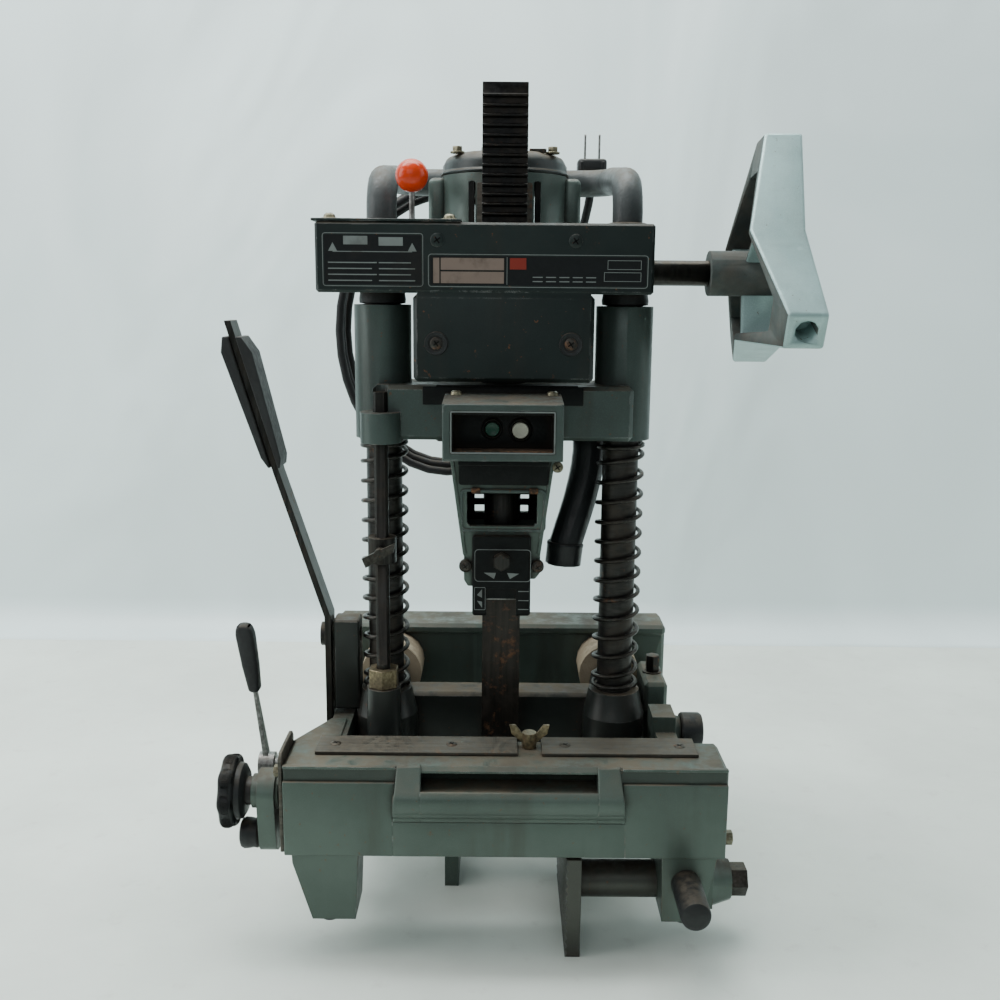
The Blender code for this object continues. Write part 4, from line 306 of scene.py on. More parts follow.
# Darker green for the grooves under the rail's top lip: painted shade.
groove_shaded_green = cast_paint("groove_paint_shaded_dusty", (0.046, 0.059, 0.051), 0.9, 0.5, 1.0)
# The bridge's paint is darker than the rest: painted shade on the upper middle of the machine.
bridge_shaded_green = cast_paint("bridge_paint_worn_shaded", (0.015, 0.023, 0.022), 0.7, 1.0, 0.6)
dark_cast = cast_paint("dark_cast_iron", (0.034, 0.038, 0.035), 0.9, 0.6, 1.0)
blue_grey = cast_paint("blue_grey_paint_worn", (0.360, 0.505, 0.500), 0.35, 1.0, 0.35, True,
                       "blue_grey_paint")
jaw_cast = cast_paint("jaw_cast_grimy", (0.060, 0.062, 0.053), 0.9, 0.6, 1.0)
cap_coating = cast_paint("motor_cap_paint_dark", (0.032, 0.038, 0.038), 0.9, 0.5, 1.0,
                         slot="dark_tube")
dark_steel = worn_steel("dark_steel_oiled", (0.030, 0.029, 0.027), 0.15, drawn_up, 0.42, 0.5)
rack_steel = worn_steel("rack_steel_black", (0.014, 0.014, 0.014), 0.0, roughness=0.40, dust=0.12)
column_steel = worn_steel("column_steel_dirty", (0.030, 0.029, 0.027), 0.12, (0.2, 0.2, 1.0),
                          0.40, 0.2, 0.7, 0.9)
spring_steel = worn_steel("spring_steel", (0.040, 0.038, 0.035), 0.15, roughness=0.34, dust=0.2)
rusty_strip = worn_steel("rusty_strip_steel", (0.085, 0.080, 0.067), 0.22, drawn_across, 0.5,
                         0.45, 0.6, slot="rusty_steel")
chisel_steel = worn_steel("chisel_steel_brown", (0.024, 0.020, 0.017), 0.30, (1.0, 1.0, 0.04),
                          0.42, 0.1, 0.6, 0.8, "rusty_steel")
floor_rust = worn_steel("floor_rust_brown", (0.040, 0.034, 0.028), 0.85, roughness=0.6,
                        dust=0.6, slot="rusty_steel")
bright_steel = worn_steel("bright_steel_dull", (0.26, 0.26, 0.25), 0.10, dust=0.25,
                          slot="bright_steel")
screw_zinc = worn_steel("screw_yellow_zinc", (0.27, 0.25, 0.17), 0.25, slot="brass_screw")
screw_dark = worn_steel("screw_blackened", (0.05, 0.047, 0.042), 0.3, roughness=0.42, dust=0.4)
brass = worn_steel("brass_worn", (0.22, 0.18, 0.11), 0.3, slot="brass_screw")
copper = worn_steel("copper_windings", (0.45, 0.18, 0.07), 0.1, drawn_up, 0.4, 0.1,
                    slot="copper_wire")
black_plastic = moulded("black_plastic_worn", (0.011, 0.012, 0.0125), 0.45, 0.35)
# A darker copy of the black plastic for the blacks on the head, which lie in shade: painted shade.
shaded_black_plastic = moulded("holder_black_shaded", (0.0030, 0.0038, 0.0038), dust=0.15, gloss=0.15)
grip_plastic = moulded("grip_plastic_pebbled", (0.016, 0.0165, 0.017), 0.55, 0.3, 260.0,
                       depth=0.0005)
dark_tube = moulded("handle_tube_coating", (0.046, 0.052, 0.053), 0.44, 0.55, 600.0, 0.8,
                    slot="dark_tube")
cream_sleeve = moulded("cream_sleeve_plastic", (0.30, 0.245, 0.175), 0.55, 0.7, 500.0, 1.0,
                       slot="cream_plastic")
cord_rubber = moulded("cord_rubber_black", (0.010, 0.010, 0.011), 0.55, 0.4, 700.0, 0.4,
                      slot="cord_rubber")
duct_rubber = moulded("duct_rubber_black", (0.010, 0.011, 0.012), 0.38, 0.3, 500.0, 0.4)
red_ball = moulded("ball_orange_red", (0.55, 0.040, 0.007), 0.16, 0.2, 900.0, 0.2, 0.00004, 0.35,
                   "red_plastic")
green_button = moulded("button_green", (0.006, 0.040, 0.024), 0.35, 0.2, 900.0, depth=0.00008,
                       slot="green_plastic")
white_button = moulded("button_white", (0.30, 0.29, 0.24), 0.35, 0.4, 900.0, depth=0.00008,
                       slot="white_plastic")
label_black = plain_print("label_black", (0.0030, 0.0040, 0.0050), grimy=0.15)
label_light = plain_print("label_light_grey", (0.17, 0.19, 0.185), slot="dark_steel")
label_copper = plain_print("label_copper", (0.20, 0.150, 0.125), 0.42, 0.2, 0.7, "dark_steel")
label_red = plain_print("label_red", (0.20, 0.022, 0.014), 0.45, slot="red_plastic")
# Black for painted shadow: the motor's vents and the screws' cross recesses.
shadow_black = plain_print("painted_shadow_black", (0.003, 0.003, 0.003), 0.85, grimy=0.2)


# Shape helpers.
def turn_to(direction):
    """The turn that lays the Z axis along a direction."""
    return Z.rotation_difference(Vector(direction).normalized()).to_matrix().to_4x4()


def only_corners(items):
    return [item for item in items if isinstance(item, bmesh.types.BMVert)]


def lines_at(corners):
    return list({line for corner in corners for line in corner.link_edges})


def bevel(build, lines, width, segments):
    """Rounds some edges, and returns the new corners."""
    return bmesh.ops.bevel(build, geom=lines, offset=width, segments=segments, profile=0.5,
                           affect="EDGES", material=-1)["verts"]


def new_object(name, data, finish=None):
    made = bpy.data.objects.new(name, data)
    if finish:
        data.materials.append(finish)
    bpy.context.scene.collection.objects.link(made)
    return made


# An outline is drawn in a plane of its own and pushed along Z; this turn then lays it in place.
axis_planes = {
    "X": Matrix(((0, 0, 1), (1, 0, 0), (0, 1, 0))).to_4x4(),
    "Y": Matrix(((1, 0, 0), (0, 0, -1), (0, 1, 0))).to_4x4(),
    "Z": Matrix.Identity(4),
}


def depth_and_push(axis, low, high):
    return (-low, low - high) if axis == "Y" else (low, high - low)


def rounded(low_x, low_z, high_x, high_z, radius, steps=5):
    """The outline of a rectangle with round corners."""
    points = []
    for x, z, start in ((high_x - radius, low_z + radius, -90.0),
                        (high_x - radius, high_z - radius, 0.0),
                        (low_x + radius, high_z - radius, 90.0),
                        (low_x + radius, low_z + radius, 180.0)):
        for step in range(steps + 1):
            angle = math.radians(start + 90.0 * step / steps)
            points.append((x + radius * math.cos(angle), z + radius * math.sin(angle)))
    return points


def box_mark(low_x, low_z, high_x, high_z):
    """The outline of a rectangle with sharp corners."""
    return [(low_x, low_z), (high_x, low_z), (high_x, high_z), (low_x, high_z)]


class Piece:
    """A piece in the making: solids are added to it, then it is put on its body.

    It starts empty or, where a node is named, as a merged copy of that CAD node.
    """

    def __init__(self, node=None):
        self.build = bmesh.new()
        if node:
            build = self.build
            build.from_mesh(frame["nodes"][node].data)
            bmesh.ops.remove_doubles(build, verts=build.verts, dist=cad_merge)
            bmesh.ops.dissolve_limit(build, angle_limit=flat_angle, verts=build.verts,
                                     edges=build.edges)

    def block(self, low, high, edge=0.0, segments=2):
        low, high = Vector(low), Vector(high)
        made = bmesh.ops.create_cube(self.build, size=1.0)["verts"]
        bmesh.ops.scale(self.build, vec=high - low, verts=made)
        bmesh.ops.translate(self.build, vec=(low + high) / 2, verts=made)
        if edge > 0.0:
            bevel(self.build, lines_at(made), edge, segments)
        return self

    def rod(self, start, end, radius, steps=round_steps, edge=0.0):
        start, end = Vector(start), Vector(end)
        made = bmesh.ops.create_cone(self.build, cap_ends=True, segments=steps, radius1=radius,
                                     radius2=radius, depth=(end - start).length)["verts"]
        if edge > 0.0:
            rims = [line for line in lines_at(made)
                    if abs(line.verts[0].co.z - line.verts[1].co.z) < same_level]
            grown = bevel(self.build, rims, edge, 2)
            made = list({corner for corner in [*grown, *made] if corner.is_valid})
        bmesh.ops.transform(self.build, matrix=Matrix.Translation((start + end) / 2)
                            @ turn_to(end - start), verts=made)
        return self

    def turned(self, profile, place, direction, steps=round_steps):
        """A profile of (radius, distance along the direction) spun into a round solid."""
        build = self.build
        corners = [build.verts.new((radius, 0.0, along)) for radius, along in profile]
        lines = [build.edges.new(pair) for pair in zip(corners, corners[1:])]
        bmesh.ops.spin(build, geom=corners + lines, cent=(0, 0, 0), axis=(0, 0, 1),
                       angle=2 * math.pi, steps=steps, use_merge=True)
        shell, reached = set(corners), set()
        while shell:
            corner = shell.pop()
            reached.add(corner)
            shell |= {line.other_vert(corner) for line in corner.link_edges} - reached
        bmesh.ops.transform(build, matrix=Matrix.Translation(place) @ turn_to(direction),
                            verts=list(reached))
        bmesh.ops.remove_doubles(build, verts=list(reached), dist=same_place)
        return self

    def plate(self, outline, axis, low, high, edge=0.0, segments=2):
        """A flat outline, given in (Y, Z), (X, Z) or (X, Y), pushed from low to high."""
        depth, push = depth_and_push(axis, low, high)
        corners = [self.build.verts.new((across, up, depth)) for across, up in outline]
        pushed = bmesh.ops.extrude_face_region(self.build, geom=[self.build.faces.new(corners)])
        far = only_corners(pushed["geom"])
        bmesh.ops.translate(self.build, vec=(0, 0, push), verts=far)
        made = corners + far
        if edge > 0.0:
            made += bevel(self.build, lines_at(made), edge, segments)
        bmesh.ops.transform(self.build, matrix=axis_planes[axis],
                            verts=list({corner for corner in made if corner.is_valid}))
        return self

    def frame(self, outer, inner, axis, low, high):
        """A flat frame between two outlines with the same number of points."""
        depth, push = depth_and_push(axis, low, high)
        loops = [[self.build.verts.new((across, up, level)) for across, up in outline]
                 for outline, level in ((outer, depth), (outer, depth + push),
                                        (inner, depth + push), (inner, depth))]
        for first, second in zip(loops, loops[1:] + loops[:1]):
            for step, corner in enumerate(first):
                after = (step + 1) % len(first)
                self.build.faces.new((corner, first[after], second[after], second[step]))
        bmesh.ops.transform(self.build, matrix=axis_planes[axis],
                            verts=[corner for loop in loops for corner in loop])
        return self

    def thread(self, start, end):
        """A rod with fine grooves all along, which stands for its thread."""
        radius, pitch, depth, steps = 0.007, 0.0022, 0.0007, 28
        run = Vector(end) - Vector(start)
        count = max(2, int(run.length / pitch))
        profile = [(0.0, 0.0), (radius - depth, 0.0)]
        for step in range(count):
            along = run.length * step / count
            profile.append((radius, along + 0.45 * run.length / count))
            profile.append((radius - depth, along + 0.98 * run.length / count))
        profile.append((0.0, run.length))
        return self.turned(profile, start, run, steps)

    def mesh(self, name):
        mesh = bpy.data.meshes.new(name)
        self.build.to_mesh(mesh)
        self.build.free()
        return mesh

    def take(self, other, matrix=None):
        """Takes over the solids of another piece, moved where a matrix is given."""
        mesh = other.mesh("taken")
        if matrix:
            mesh.transform(matrix)
        self.build.from_mesh(mesh)
        bpy.data.meshes.remove(mesh)
        return self

    def put(self, name, finish, body, replaces=(), slot=None, smooth=smooth_degrees, edge=0.0,
            segments=2, edge_angle=30.0):
        """Finishes the piece and hangs it on its body, in its finish's slot or in another."""
        slot = slot or slot_of[finish.name]
        bmesh.ops.recalc_face_normals(self.build, faces=self.build.faces)
        mesh = self.mesh(name)
        piece = new_object(name, mesh, finish)
        if edge > 0.0:
            rounding = piece.modifiers.new("edges", "BEVEL")
            rounding.width, rounding.segments = edge, segments
            rounding.limit_method = "ANGLE"
            rounding.angle_limit = math.radians(edge_angle)
            rounding.use_clamp_overlap = True
        mesh.shade_smooth()
        mesh.set_sharp_from_angle(angle=math.radians(smooth))
        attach(piece, body)
        if replaces:
            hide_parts(*replaces)
        return piece


def dressed(node, finish, edge=0.0, segments=2, smooth=smooth_degrees, slot=None):
    """A merged copy of a CAD node with round shading and, where asked, round edges."""
    return Piece(node).put(node + "_surface", finish, frame["nodes"][node]["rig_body"], (node,),
                           slot, smooth, edge, segments)


# Camera, lights, floor and backdrop.
def make_camera():
    camera = bpy.data.cameras.new("camera")
    focal_pixels, frame_pixels, look_down, roll = 1090.0, 1000.0, 11.0, 0.5
    place = (-0.0016, -0.850, 0.492)
    camera.sensor_width = 36.0
    camera.lens = camera.sensor_width * focal_pixels / frame_pixels
    holder = new_object("camera", camera)
    holder.matrix_world = (Matrix.Translation(place)
                           @ Matrix.Rotation(math.radians(90.0 - look_down), 4, "X")
                           @ Matrix.Rotation(math.radians(roll), 4, "Z"))
    bpy.context.scene.camera = holder


def make_light(name, place, target, size, power, colour=(1.0, 1.0, 1.0)):
    light = bpy.data.lights.new(name, "AREA")
    light.shape, light.energy, light.color = "RECTANGLE", power, colour
    light.size, light.size_y = size
    aim = (Vector(target) - Vector(place)).to_track_quat("-Z", "Y").to_matrix().to_4x4()
    new_object(name, light).matrix_world = Matrix.Translation(place) @ aim


def make_floor_finish():
    f = Finish("pale_floor")
    fine = f.noise(38.0, 5.0, 0.65)
    tone = f.mix(f.span(f.noise(3.2, 6.0, 0.6), 0.3, 0.7), (0.61, 0.65, 0.60),
                 (0.73, 0.78, 0.72))
    tone = f.mix(f.times(f.span(fine, 0.58, 0.74), 0.25), tone, (0.45, 0.44, 0.41))
    f.relief(fine, 0.0006, 0.4)
    return f.look(tone, f.span(fine, 0.3, 0.7, 0.38, 0.60))


def make_backdrop_finish():
    """White folds that are clear from behind, so that they hide nothing of the machine there."""
    f = Finish("white_backdrop")
    folds = f.noise(2.4, 3.0, 0.5, (1.0, 1.0, 0.55), 0.8)
    f.relief(folds, 0.05, 0.5)
    # The tone follows the folds, darker in their troughs: painted shade of the folds.
    f.look(f.mix(f.span(folds, 0.3, 0.7), (0.67, 0.77, 0.78), (0.79, 0.90, 0.91)),
           f.span(folds, 0.3, 0.7, 0.40, 0.55))
    clear = f.node("ShaderNodeBsdfTransparent")
    blend = f.node("ShaderNodeMixShader", {0: f.geometry.outputs["Backfacing"],
                                           1: f.shader.outputs[0], 2: clear.outputs[0]})
    f.join(blend.outputs[0], f.output.inputs["Surface"])
    return f.material


def make_stage():
    world = bpy.data.worlds.new("studio")
    bpy.context.scene.world = world
    world.use_nodes = True
    background = world.node_tree.nodes["Background"]
    background.inputs["Color"].default_value = (0.78, 0.92, 0.95, 1)
    background.inputs["Strength"].default_value = 0.30
    middle = (0, 0, 0.35)
    make_light("top_light", (-0.25, 0.30, 1.75), (0.0, 0.05, 0.25), (1.7, 1.0), 34.0,
               (1.0, 1.0, 0.97))
    make_light("left_light", (-1.7, -0.3, 1.0), middle, (1.0, 1.4), 17.0)
    make_light("right_light", (1.7, -0.1, 1.0), middle, (1.0, 1.4), 6.0)
    make_light("front_light", (-0.4, -1.8, 1.3), middle, (1.4, 1.0), 5.0)
    make_light("backdrop_light", (-0.35, 0.15, 2.05), (-0.35, 0.67, 0.8), (2.6, 0.4), 31.0,
               (0.90, 1.0, 1.0))

    floor_far, drop_top, drop_foot, sweep, half, sweep_steps = 0.62, 2.4, -0.001, 0.05, 3.0, 6
    ground, drop = Piece(), Piece()
    bmesh.ops.create_grid(ground.build, x_segments=1, y_segments=1, size=1.0)
    corners = ground.build.verts
    bmesh.ops.scale(ground.build, vec=(half, (half + floor_far) / 2, 1.0), verts=corners)
    bmesh.ops.translate(ground.build, vec=(0.0, (floor_far - half) / 2, 0.0), verts=corners)
    profile = [(floor_far, drop_foot)]
    for step in range(sweep_steps + 1):
        angle = math.radians(90.0 * step / sweep_steps)
        profile.append((floor_far + sweep * math.sin(angle), sweep * (1 - math.cos(angle))))
    profile.append((floor_far + sweep, drop_top))
    line = [drop.build.verts.new((-half, y, z)) for y, z in profile]
    edges = [drop.build.edges.new(pair) for pair in zip(line, line[1:])]
    grown = bmesh.ops.extrude_edge_only(drop.build, edges=edges)["geom"]
    bmesh.ops.translate(drop.build, vec=(2 * half, 0, 0), verts=only_corners(grown))
    drop.build.normal_update()
    if sum(face.normal.y for face in drop.build.faces) > 0.0:
        bmesh.ops.reverse_faces(drop.build, faces=drop.build.faces)
    floor = new_object("floor", ground.mesh("floor"), make_floor_finish())
    backdrop = new_object("backdrop", drop.mesh("backdrop"), make_backdrop_finish())
    backdrop.data.shade_smooth()


make_camera()
make_stage()


# The cord: its lead, coil and tail as one line, and its plug.
coil_centre_x, coil_centre_z = -0.052, 0.452
coil_half_width, coil_half_height = 0.098, 0.128
coil_near_y, coil_step = 0.1690, 0.0084
coil_start, coil_turns, coil_loop_points = 100.0, 3.69, 36
cord_radius = 0.00375
plug_foot = Vector((0.078, 0.1665, 0.5923))
lead_route = ((-0.020, 0.1512, 0.400), (-0.020, 0.162, 0.400), (-0.0215, 0.174, 0.395),
              (-0.026, 0.184, 0.382), (-0.036, 0.188, 0.366), (-0.048, 0.182, 0.355),
              (-0.058, 0.169, 0.353), (-0.064, 0.154, 0.362), (-0.066, 0.141, 0.384),
              (-0.065, 0.133, 0.418), (-0.061, 0.130, 0.460), (-0.055, 0.129, 0.505),
              (-0.047, 0.1285, 0.545), (-0.041, 0.1305, 0.571), (-0.036, 0.1350, 0.594),
              (-0.034, 0.149, 0.6010), (-0.039, 0.1625, 0.5970), (-0.049, 0.1685, 0.5885),
              (-0.060, 0.169, 0.5815))
tail_route = ((0.051, 0.1995, 0.458), (0.0585, 0.193, 0.490), (0.0665, 0.183, 0.524),
              (0.0735, 0.173, 0.554), (0.0775, 0.1675, 0.576))


def tube_piece(name, points, radius, finish, steps=6, replaces=()):
    """A round bar, spring or cord along points, on the carriage."""
    curve = bpy.data.curves.new(name, "CURVE")
    curve.dimensions, curve.resolution_u, curve.use_fill_caps = "3D", 1, True
    curve.bevel_depth, curve.bevel_resolution = radius, steps
    spline = curve.splines.new("POLY")
    spline.points.add(len(points) - 1)
    for point, place in zip(spline.points, points):
        point.co = (*place, 1.0)
    holder = new_object(name + "_line", curve)
    graph = bpy.context.evaluated_depsgraph_get()
    graph.update()
    piece = Piece()
    piece.build.from_mesh(bpy.data.meshes.new_from_object(holder.evaluated_get(graph)))
    bpy.data.objects.remove(holder, do_unlink=True)
    bpy.data.curves.remove(curve)
    bmesh.ops.remove_doubles(piece.build, verts=piece.build.verts, dist=same_place)
    return piece.put(name, finish, "carriage", replaces, smooth=50.0)


def smooth_path(route, count):
    """Evenly spread points on one smooth curve through the route's own points."""
    route = [Vector(point) for point in route]
    ends = [2 * route[0] - route[1], *route, 2 * route[-1] - route[-2]]
    fine_steps = 16
    fine = [route[0]]
    for before, first, second, after in zip(ends, ends[1:], ends[2:], ends[3:]):
        for step in range(1, fine_steps + 1):
            t = step / fine_steps
            fine.append(0.5 * (2 * first + (second - before) * t
                               + (2 * before - 5 * first + 4 * second - after) * t ** 2
                               + (3 * first - before - 3 * second + after) * t ** 3))
    lengths = [0.0]
    for first, second in zip(fine, fine[1:]):
        lengths.append(lengths[-1] + (second - first).length)
    points = []
    index = 0
    for step in range(count):
        wanted = lengths[-1] * step / (count - 1)
        while index < len(fine) - 2 and lengths[index + 1] < wanted:
            index += 1
        share = (wanted - lengths[index]) / (lengths[index + 1] - lengths[index])
        points.append(fine[index].lerp(fine[index + 1], share))
    return points


def coil_path():
    points = []
    for step in range(int(coil_turns * coil_loop_points) + 1):
        turn = step / coil_loop_points
        angle = math.radians(coil_start) + 2 * math.pi * turn
        swell = 1 + 0.035 * math.sin(2.3 * turn)
        points.append(Vector((coil_centre_x + coil_half_width * swell * math.cos(angle),
                              coil_near_y + coil_step * turn,
                              coil_centre_z + coil_half_height * swell * math.sin(angle))))
    return points


def make_cord():
    coil = coil_path()
    lead = smooth_path([*lead_route, coil[0]], 40)
    tail = smooth_path([coil[-1], *tail_route, plug_foot - 0.0003 * Z], 16)
    line = [*lead, *coil[1:], *tail[1:]]
    cord = tube_piece("power_cord", line, cord_radius, cord_rubber, 5,
                      ("cord_coil", "cord_lead"))
    half_x, half_y, plug_high, blade_x = 0.013, 0.009, 0.0135, 0.00635
    body = Piece().block(plug_foot + Vector((-half_x, -half_y, 0.0)),
                         plug_foot + Vector((half_x, half_y, plug_high)), 0.003, 3)
    body.turned([(0.0, -0.013), (0.0052, -0.013), (0.0058, -0.004), (0.0082, 0.0015),
                 (0.0, 0.003)], plug_foot, Z, small_steps)
    pins = Piece()
    for side in sides:
        body.block(plug_foot + Vector((side * 0.0095 - 0.0015, -0.0094, 0.003)),
                   plug_foot + Vector((side * 0.0095 + 0.0015, 0.0094, 0.011)), 0.0006, 1)
        x = plug_foot.x + side * blade_x
        pins.plate(rounded(plug_foot.y - 0.0031, 0.602, plug_foot.y + 0.0031, 0.627, 0.0014, 3),
                   "X", x - 0.00075, x + 0.00075)
    plug = body.put("plug_body", black_plastic, "carriage", ("plug",))
    blades = pins.put("plug_blades", bright_steel, "carriage")


make_cord()


# Merged copies of the solids, each with its own finish.
for node, finish, edge in (
        ("base_frame", grey_green, 0.0012), ("wear_strip_left", rusty_strip, 0.0004),
        ("wear_strip_right", rusty_strip, 0.0004), ("guide_sleeve_left", cream_sleeve, 0.0),
        ("guide_sleeve_right", cream_sleeve, 0.0), ("carriage", dark_cast, 0.0008),
        ("bridge_housing", bridge_shaded_green, 0.0), ("head_casting", head_green, 0.0010),
        ("motor_housing", motor_green, 0.0), ("spindle_housing", grey_green, 0.0008),
        ("gear_shaft", dark_steel, 0.0), ("armature", copper, 0.0),
        ("spindle_chuck", dark_steel, 0.0), ("auger_bit", bright_steel, 0.0),
        ("feed_shaft", dark_steel, 0.0), ("shift_stem", bright_steel, 0.0),
        ("crank_arm", grey_green, 0.0007), ("left_jaw", grey_green, 0.0007),
        ("right_jaw", jaw_cast, 0.0004), ("depth_rod", dark_steel, 0.0),
        ("depth_rod_nut", brass, 0.0005), ("stop_collar", dark_steel, 0.0005)):
    dressed(node, finish, edge)


# Screws, bolts and printed marks, shared by all bodies.
def screw_heads(name, places, direction, radius, finish, body, height=0.0022):
    """Round heads with a cross recess, each standing on its place."""
    heads, recesses = Piece(), Piece()
    sunk, recess_sunk, recess_high = 0.0005, 0.00025, 0.0006
    direction = Vector(direction)
    for place in places:
        place = Vector(place)
        heads.turned([(0.0, height), (0.55 * radius, 0.96 * height),
                      (0.88 * radius, 0.66 * height), (radius, 0.2 * height),
                      (radius, -sunk), (0.0, -sunk)], place, direction, 32)
        for turn in (35.0, 125.0):
            arm = Vector((1.1 * radius, 0.2 * radius, recess_high)) / 2
            recesses.take(Piece().block(-arm, arm), Matrix.Translation(
                place + direction * (height - recess_sunk)) @ turn_to(direction)
                @ Matrix.Rotation(math.radians(turn), 4, "Z"))
    heads.put(name, finish, body)
    # The cross recesses are black blocks: painted shade.
    recesses.put(name + "_recesses", shadow_black, body, slot=slot_of[finish.name])


def hex_bolts(name, bolts, finish, body):
    """Hexagon heads with a washer. A bolt is (foot, direction, radius, height)."""
    heads = Piece()
    washer_share, washer_sunk, washer_high, head_low = 1.35, 0.0004, 0.0011, 0.0010
    for foot, direction, radius, height in bolts:
        foot, direction = Vector(foot), Vector(direction)
        heads.rod(foot - washer_sunk * direction, foot + washer_high * direction,
                  washer_share * radius, edge=0.0003)
        heads.rod(foot + head_low * direction, foot + height * direction, radius, 6, 0.0005)
    heads.put(name, finish, body)


def print_marks(name, marks, finish, lift):
    """Thin marks, each an outline in (X, Z), printed on the bridge's front."""
    printed = Piece()
    for outline in marks:
        printed.plate(outline, "Y", bridge_front - lift, bridge_front + print_depth)
    printed.put(name, finish, "carriage")


# Columns, springs, guide rods, bridge, handle and shift lever.
spring_low, spring_high, spring_wire, spring_radius = 0.17315, 0.37485, 0.00175, 0.01725
spring_open_turns, spring_closed_turns, spring_turn_points = 12, 2.5, 26
column_radius, column_low, column_high = 0.014, 0.100, 0.5297
guide_x, guide_radius, guide_near, guide_far, guide_z = 0.096, 0.0125, 0.022, 0.112, 0.158


def spring_path(x):
    """Points of one spring, with closed coils at both ends."""
    closed = spring_closed_turns / 2
    closed_rise = 2 * spring_wire * closed * 1.25
    open_rise = spring_high - spring_low - 2 * closed_rise
    points = []
    for step in range(int((spring_open_turns + 2 * closed) * spring_turn_points) + 1):
        turn = step / spring_turn_points
        along = min(max(turn - closed, 0.0), spring_open_turns)
        height = closed_rise * (turn - along) / closed + open_rise * along / spring_open_turns
        angle = 2 * math.pi * turn
        points.append((x + spring_radius * math.cos(angle), spring_radius * math.sin(angle),
                       spring_low + height))
    return points


def make_columns():
    for side, word in zip(sides, ("left", "right")):
        x, rod_x = side * column_x, side * guide_x
        Piece().rod((x, 0, column_low), (x, 0, column_high), column_radius, large_steps).put(
            "column_bar_" + word, column_steel, "carriage", ("column_" + word,))
        Piece().rod((rod_x, guide_near, guide_z), (rod_x, guide_far, guide_z), guide_radius,
                    large_steps).put(
            "guide_bar_" + word, bright_steel, "carriage", ("guide_rod_" + word,))
        spring = tube_piece("spring_coil_" + word, spring_path(x), spring_wire, spring_steel, 3,
                            ("spring_" + word,))
        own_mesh(spring)
        Piece().turned([(0.0145, 0.4795), (0.0176, 0.4800), (0.0180, 0.4830), (0.0172, 0.4878),
                        (0.0145, 0.4878)], (x, 0, 0), Z).put(
            "column_ring_" + word, black_plastic, "carriage")


def make_gear_cover():
    dressed("bridge_plate", bridge_shaded_green, 0.0011, 3)
    Piece().plate([(-0.1385, -0.0495), (-0.031, -0.0495), (-0.031, -0.0135), (-0.0615, -0.0135),
                   (-0.0615, -0.0325), (-0.0855, -0.0325), (-0.0855, -0.0135),
                   (-0.1385, -0.0135)], "Z", 0.5382, 0.5402, 0.0005).put(
        "gear_cover", bridge_shaded_green, "carriage")
    screws = [(-0.1270, -0.036, 0.5410), (-0.0400, -0.036, 0.5410)]
    screw_heads("gear_cover_screws", screws, Z, 0.0044, screw_zinc, "carriage", 0.0034)
    washers = Piece()
    for x, y, z in screws:
        washers.rod((x, y, z - 0.0011), (x, y, z + 0.0001), 0.0062, edge=0.0003)
    washers.put("gear_cover_washers", screw_zinc, "carriage")


def make_labels():
    outlines = Piece()
    for outer, inner in (
            (rounded(-0.1305, 0.4925, -0.0582, 0.5300, 0.0022, 4),
             rounded(-0.1300, 0.4930, -0.0587, 0.5295, 0.0017, 4)),
            (rounded(-0.0547, 0.4925, 0.1035, 0.5158, 0.0024, 4),
             rounded(-0.0542, 0.4930, 0.1030, 0.5153, 0.0019, 4))):
        outlines.frame(outer, inner, "Y", bridge_front - label_lift, bridge_front + print_depth)
    outlines.put("label_outlines", label_light, "carriage")
    print_marks("label_strip", [rounded(-0.1290, 0.4940, -0.0597, 0.5285, 0.0010, 3),
                                rounded(-0.0532, 0.4940, 0.1020, 0.5143, 0.0012, 3)],
                label_black, 0.0002)
    marks = [box_mark(-0.1153, 0.5218, -0.0980, 0.5278),
             box_mark(-0.0900, 0.5211, -0.0727, 0.5271),
             box_mark(-0.1230, 0.5166, -0.0660, 0.5172)]
    for x in (-0.1230, -0.0660):
        marks.append([(x - 0.0032, 0.5172), (x + 0.0032, 0.5172), (x, 0.5232)])
    for step in range(4):
        z = 0.4962 + 0.0042 * step
        marks.append(box_mark(-0.1265, z, -0.0950 + 0.0035 * (step % 2), z + 0.0008))
        marks.append(box_mark(-0.0900, z, -0.0640 - 0.0030 * (step % 2), z + 0.0008))
    print_marks("label_marks", marks, label_light, label_lift)
    print_marks("label_rows", [box_mark(-0.0510, 0.4952, -0.0466, 0.5130),
                               box_mark(-0.0456, 0.5046, -0.0002, 0.5130),
                               box_mark(-0.0456, 0.4952, -0.0002, 0.5034)],
                label_copper, mark_lift)
    print_marks("label_square", [box_mark(0.0040, 0.5052, 0.0158, 0.5132)], label_red,
                mark_lift)
    boxes = Piece()
    levels = ("Y", bridge_front - mark_lift, bridge_front)
    boxes.frame(box_mark(0.0742, 0.5056, 0.0985, 0.5122),
                box_mark(0.0746, 0.5060, 0.0981, 0.5118), *levels)
    boxes.frame(box_mark(0.0718, 0.4972, 0.0985, 0.5038),
                box_mark(0.0722, 0.4976, 0.0981, 0.5034), *levels)
    boxes.plate(box_mark(0.0018, 0.4945, 0.0022, 0.5138), *levels)
    for step in range(5):
        low = 0.0205 + 0.0096 * step
        for z in (0.4965, 0.4995):
            boxes.plate(box_mark(low, z, low + 0.0072, z + 0.0007), *levels)
    boxes.put("label_boxes", label_light, "carriage")


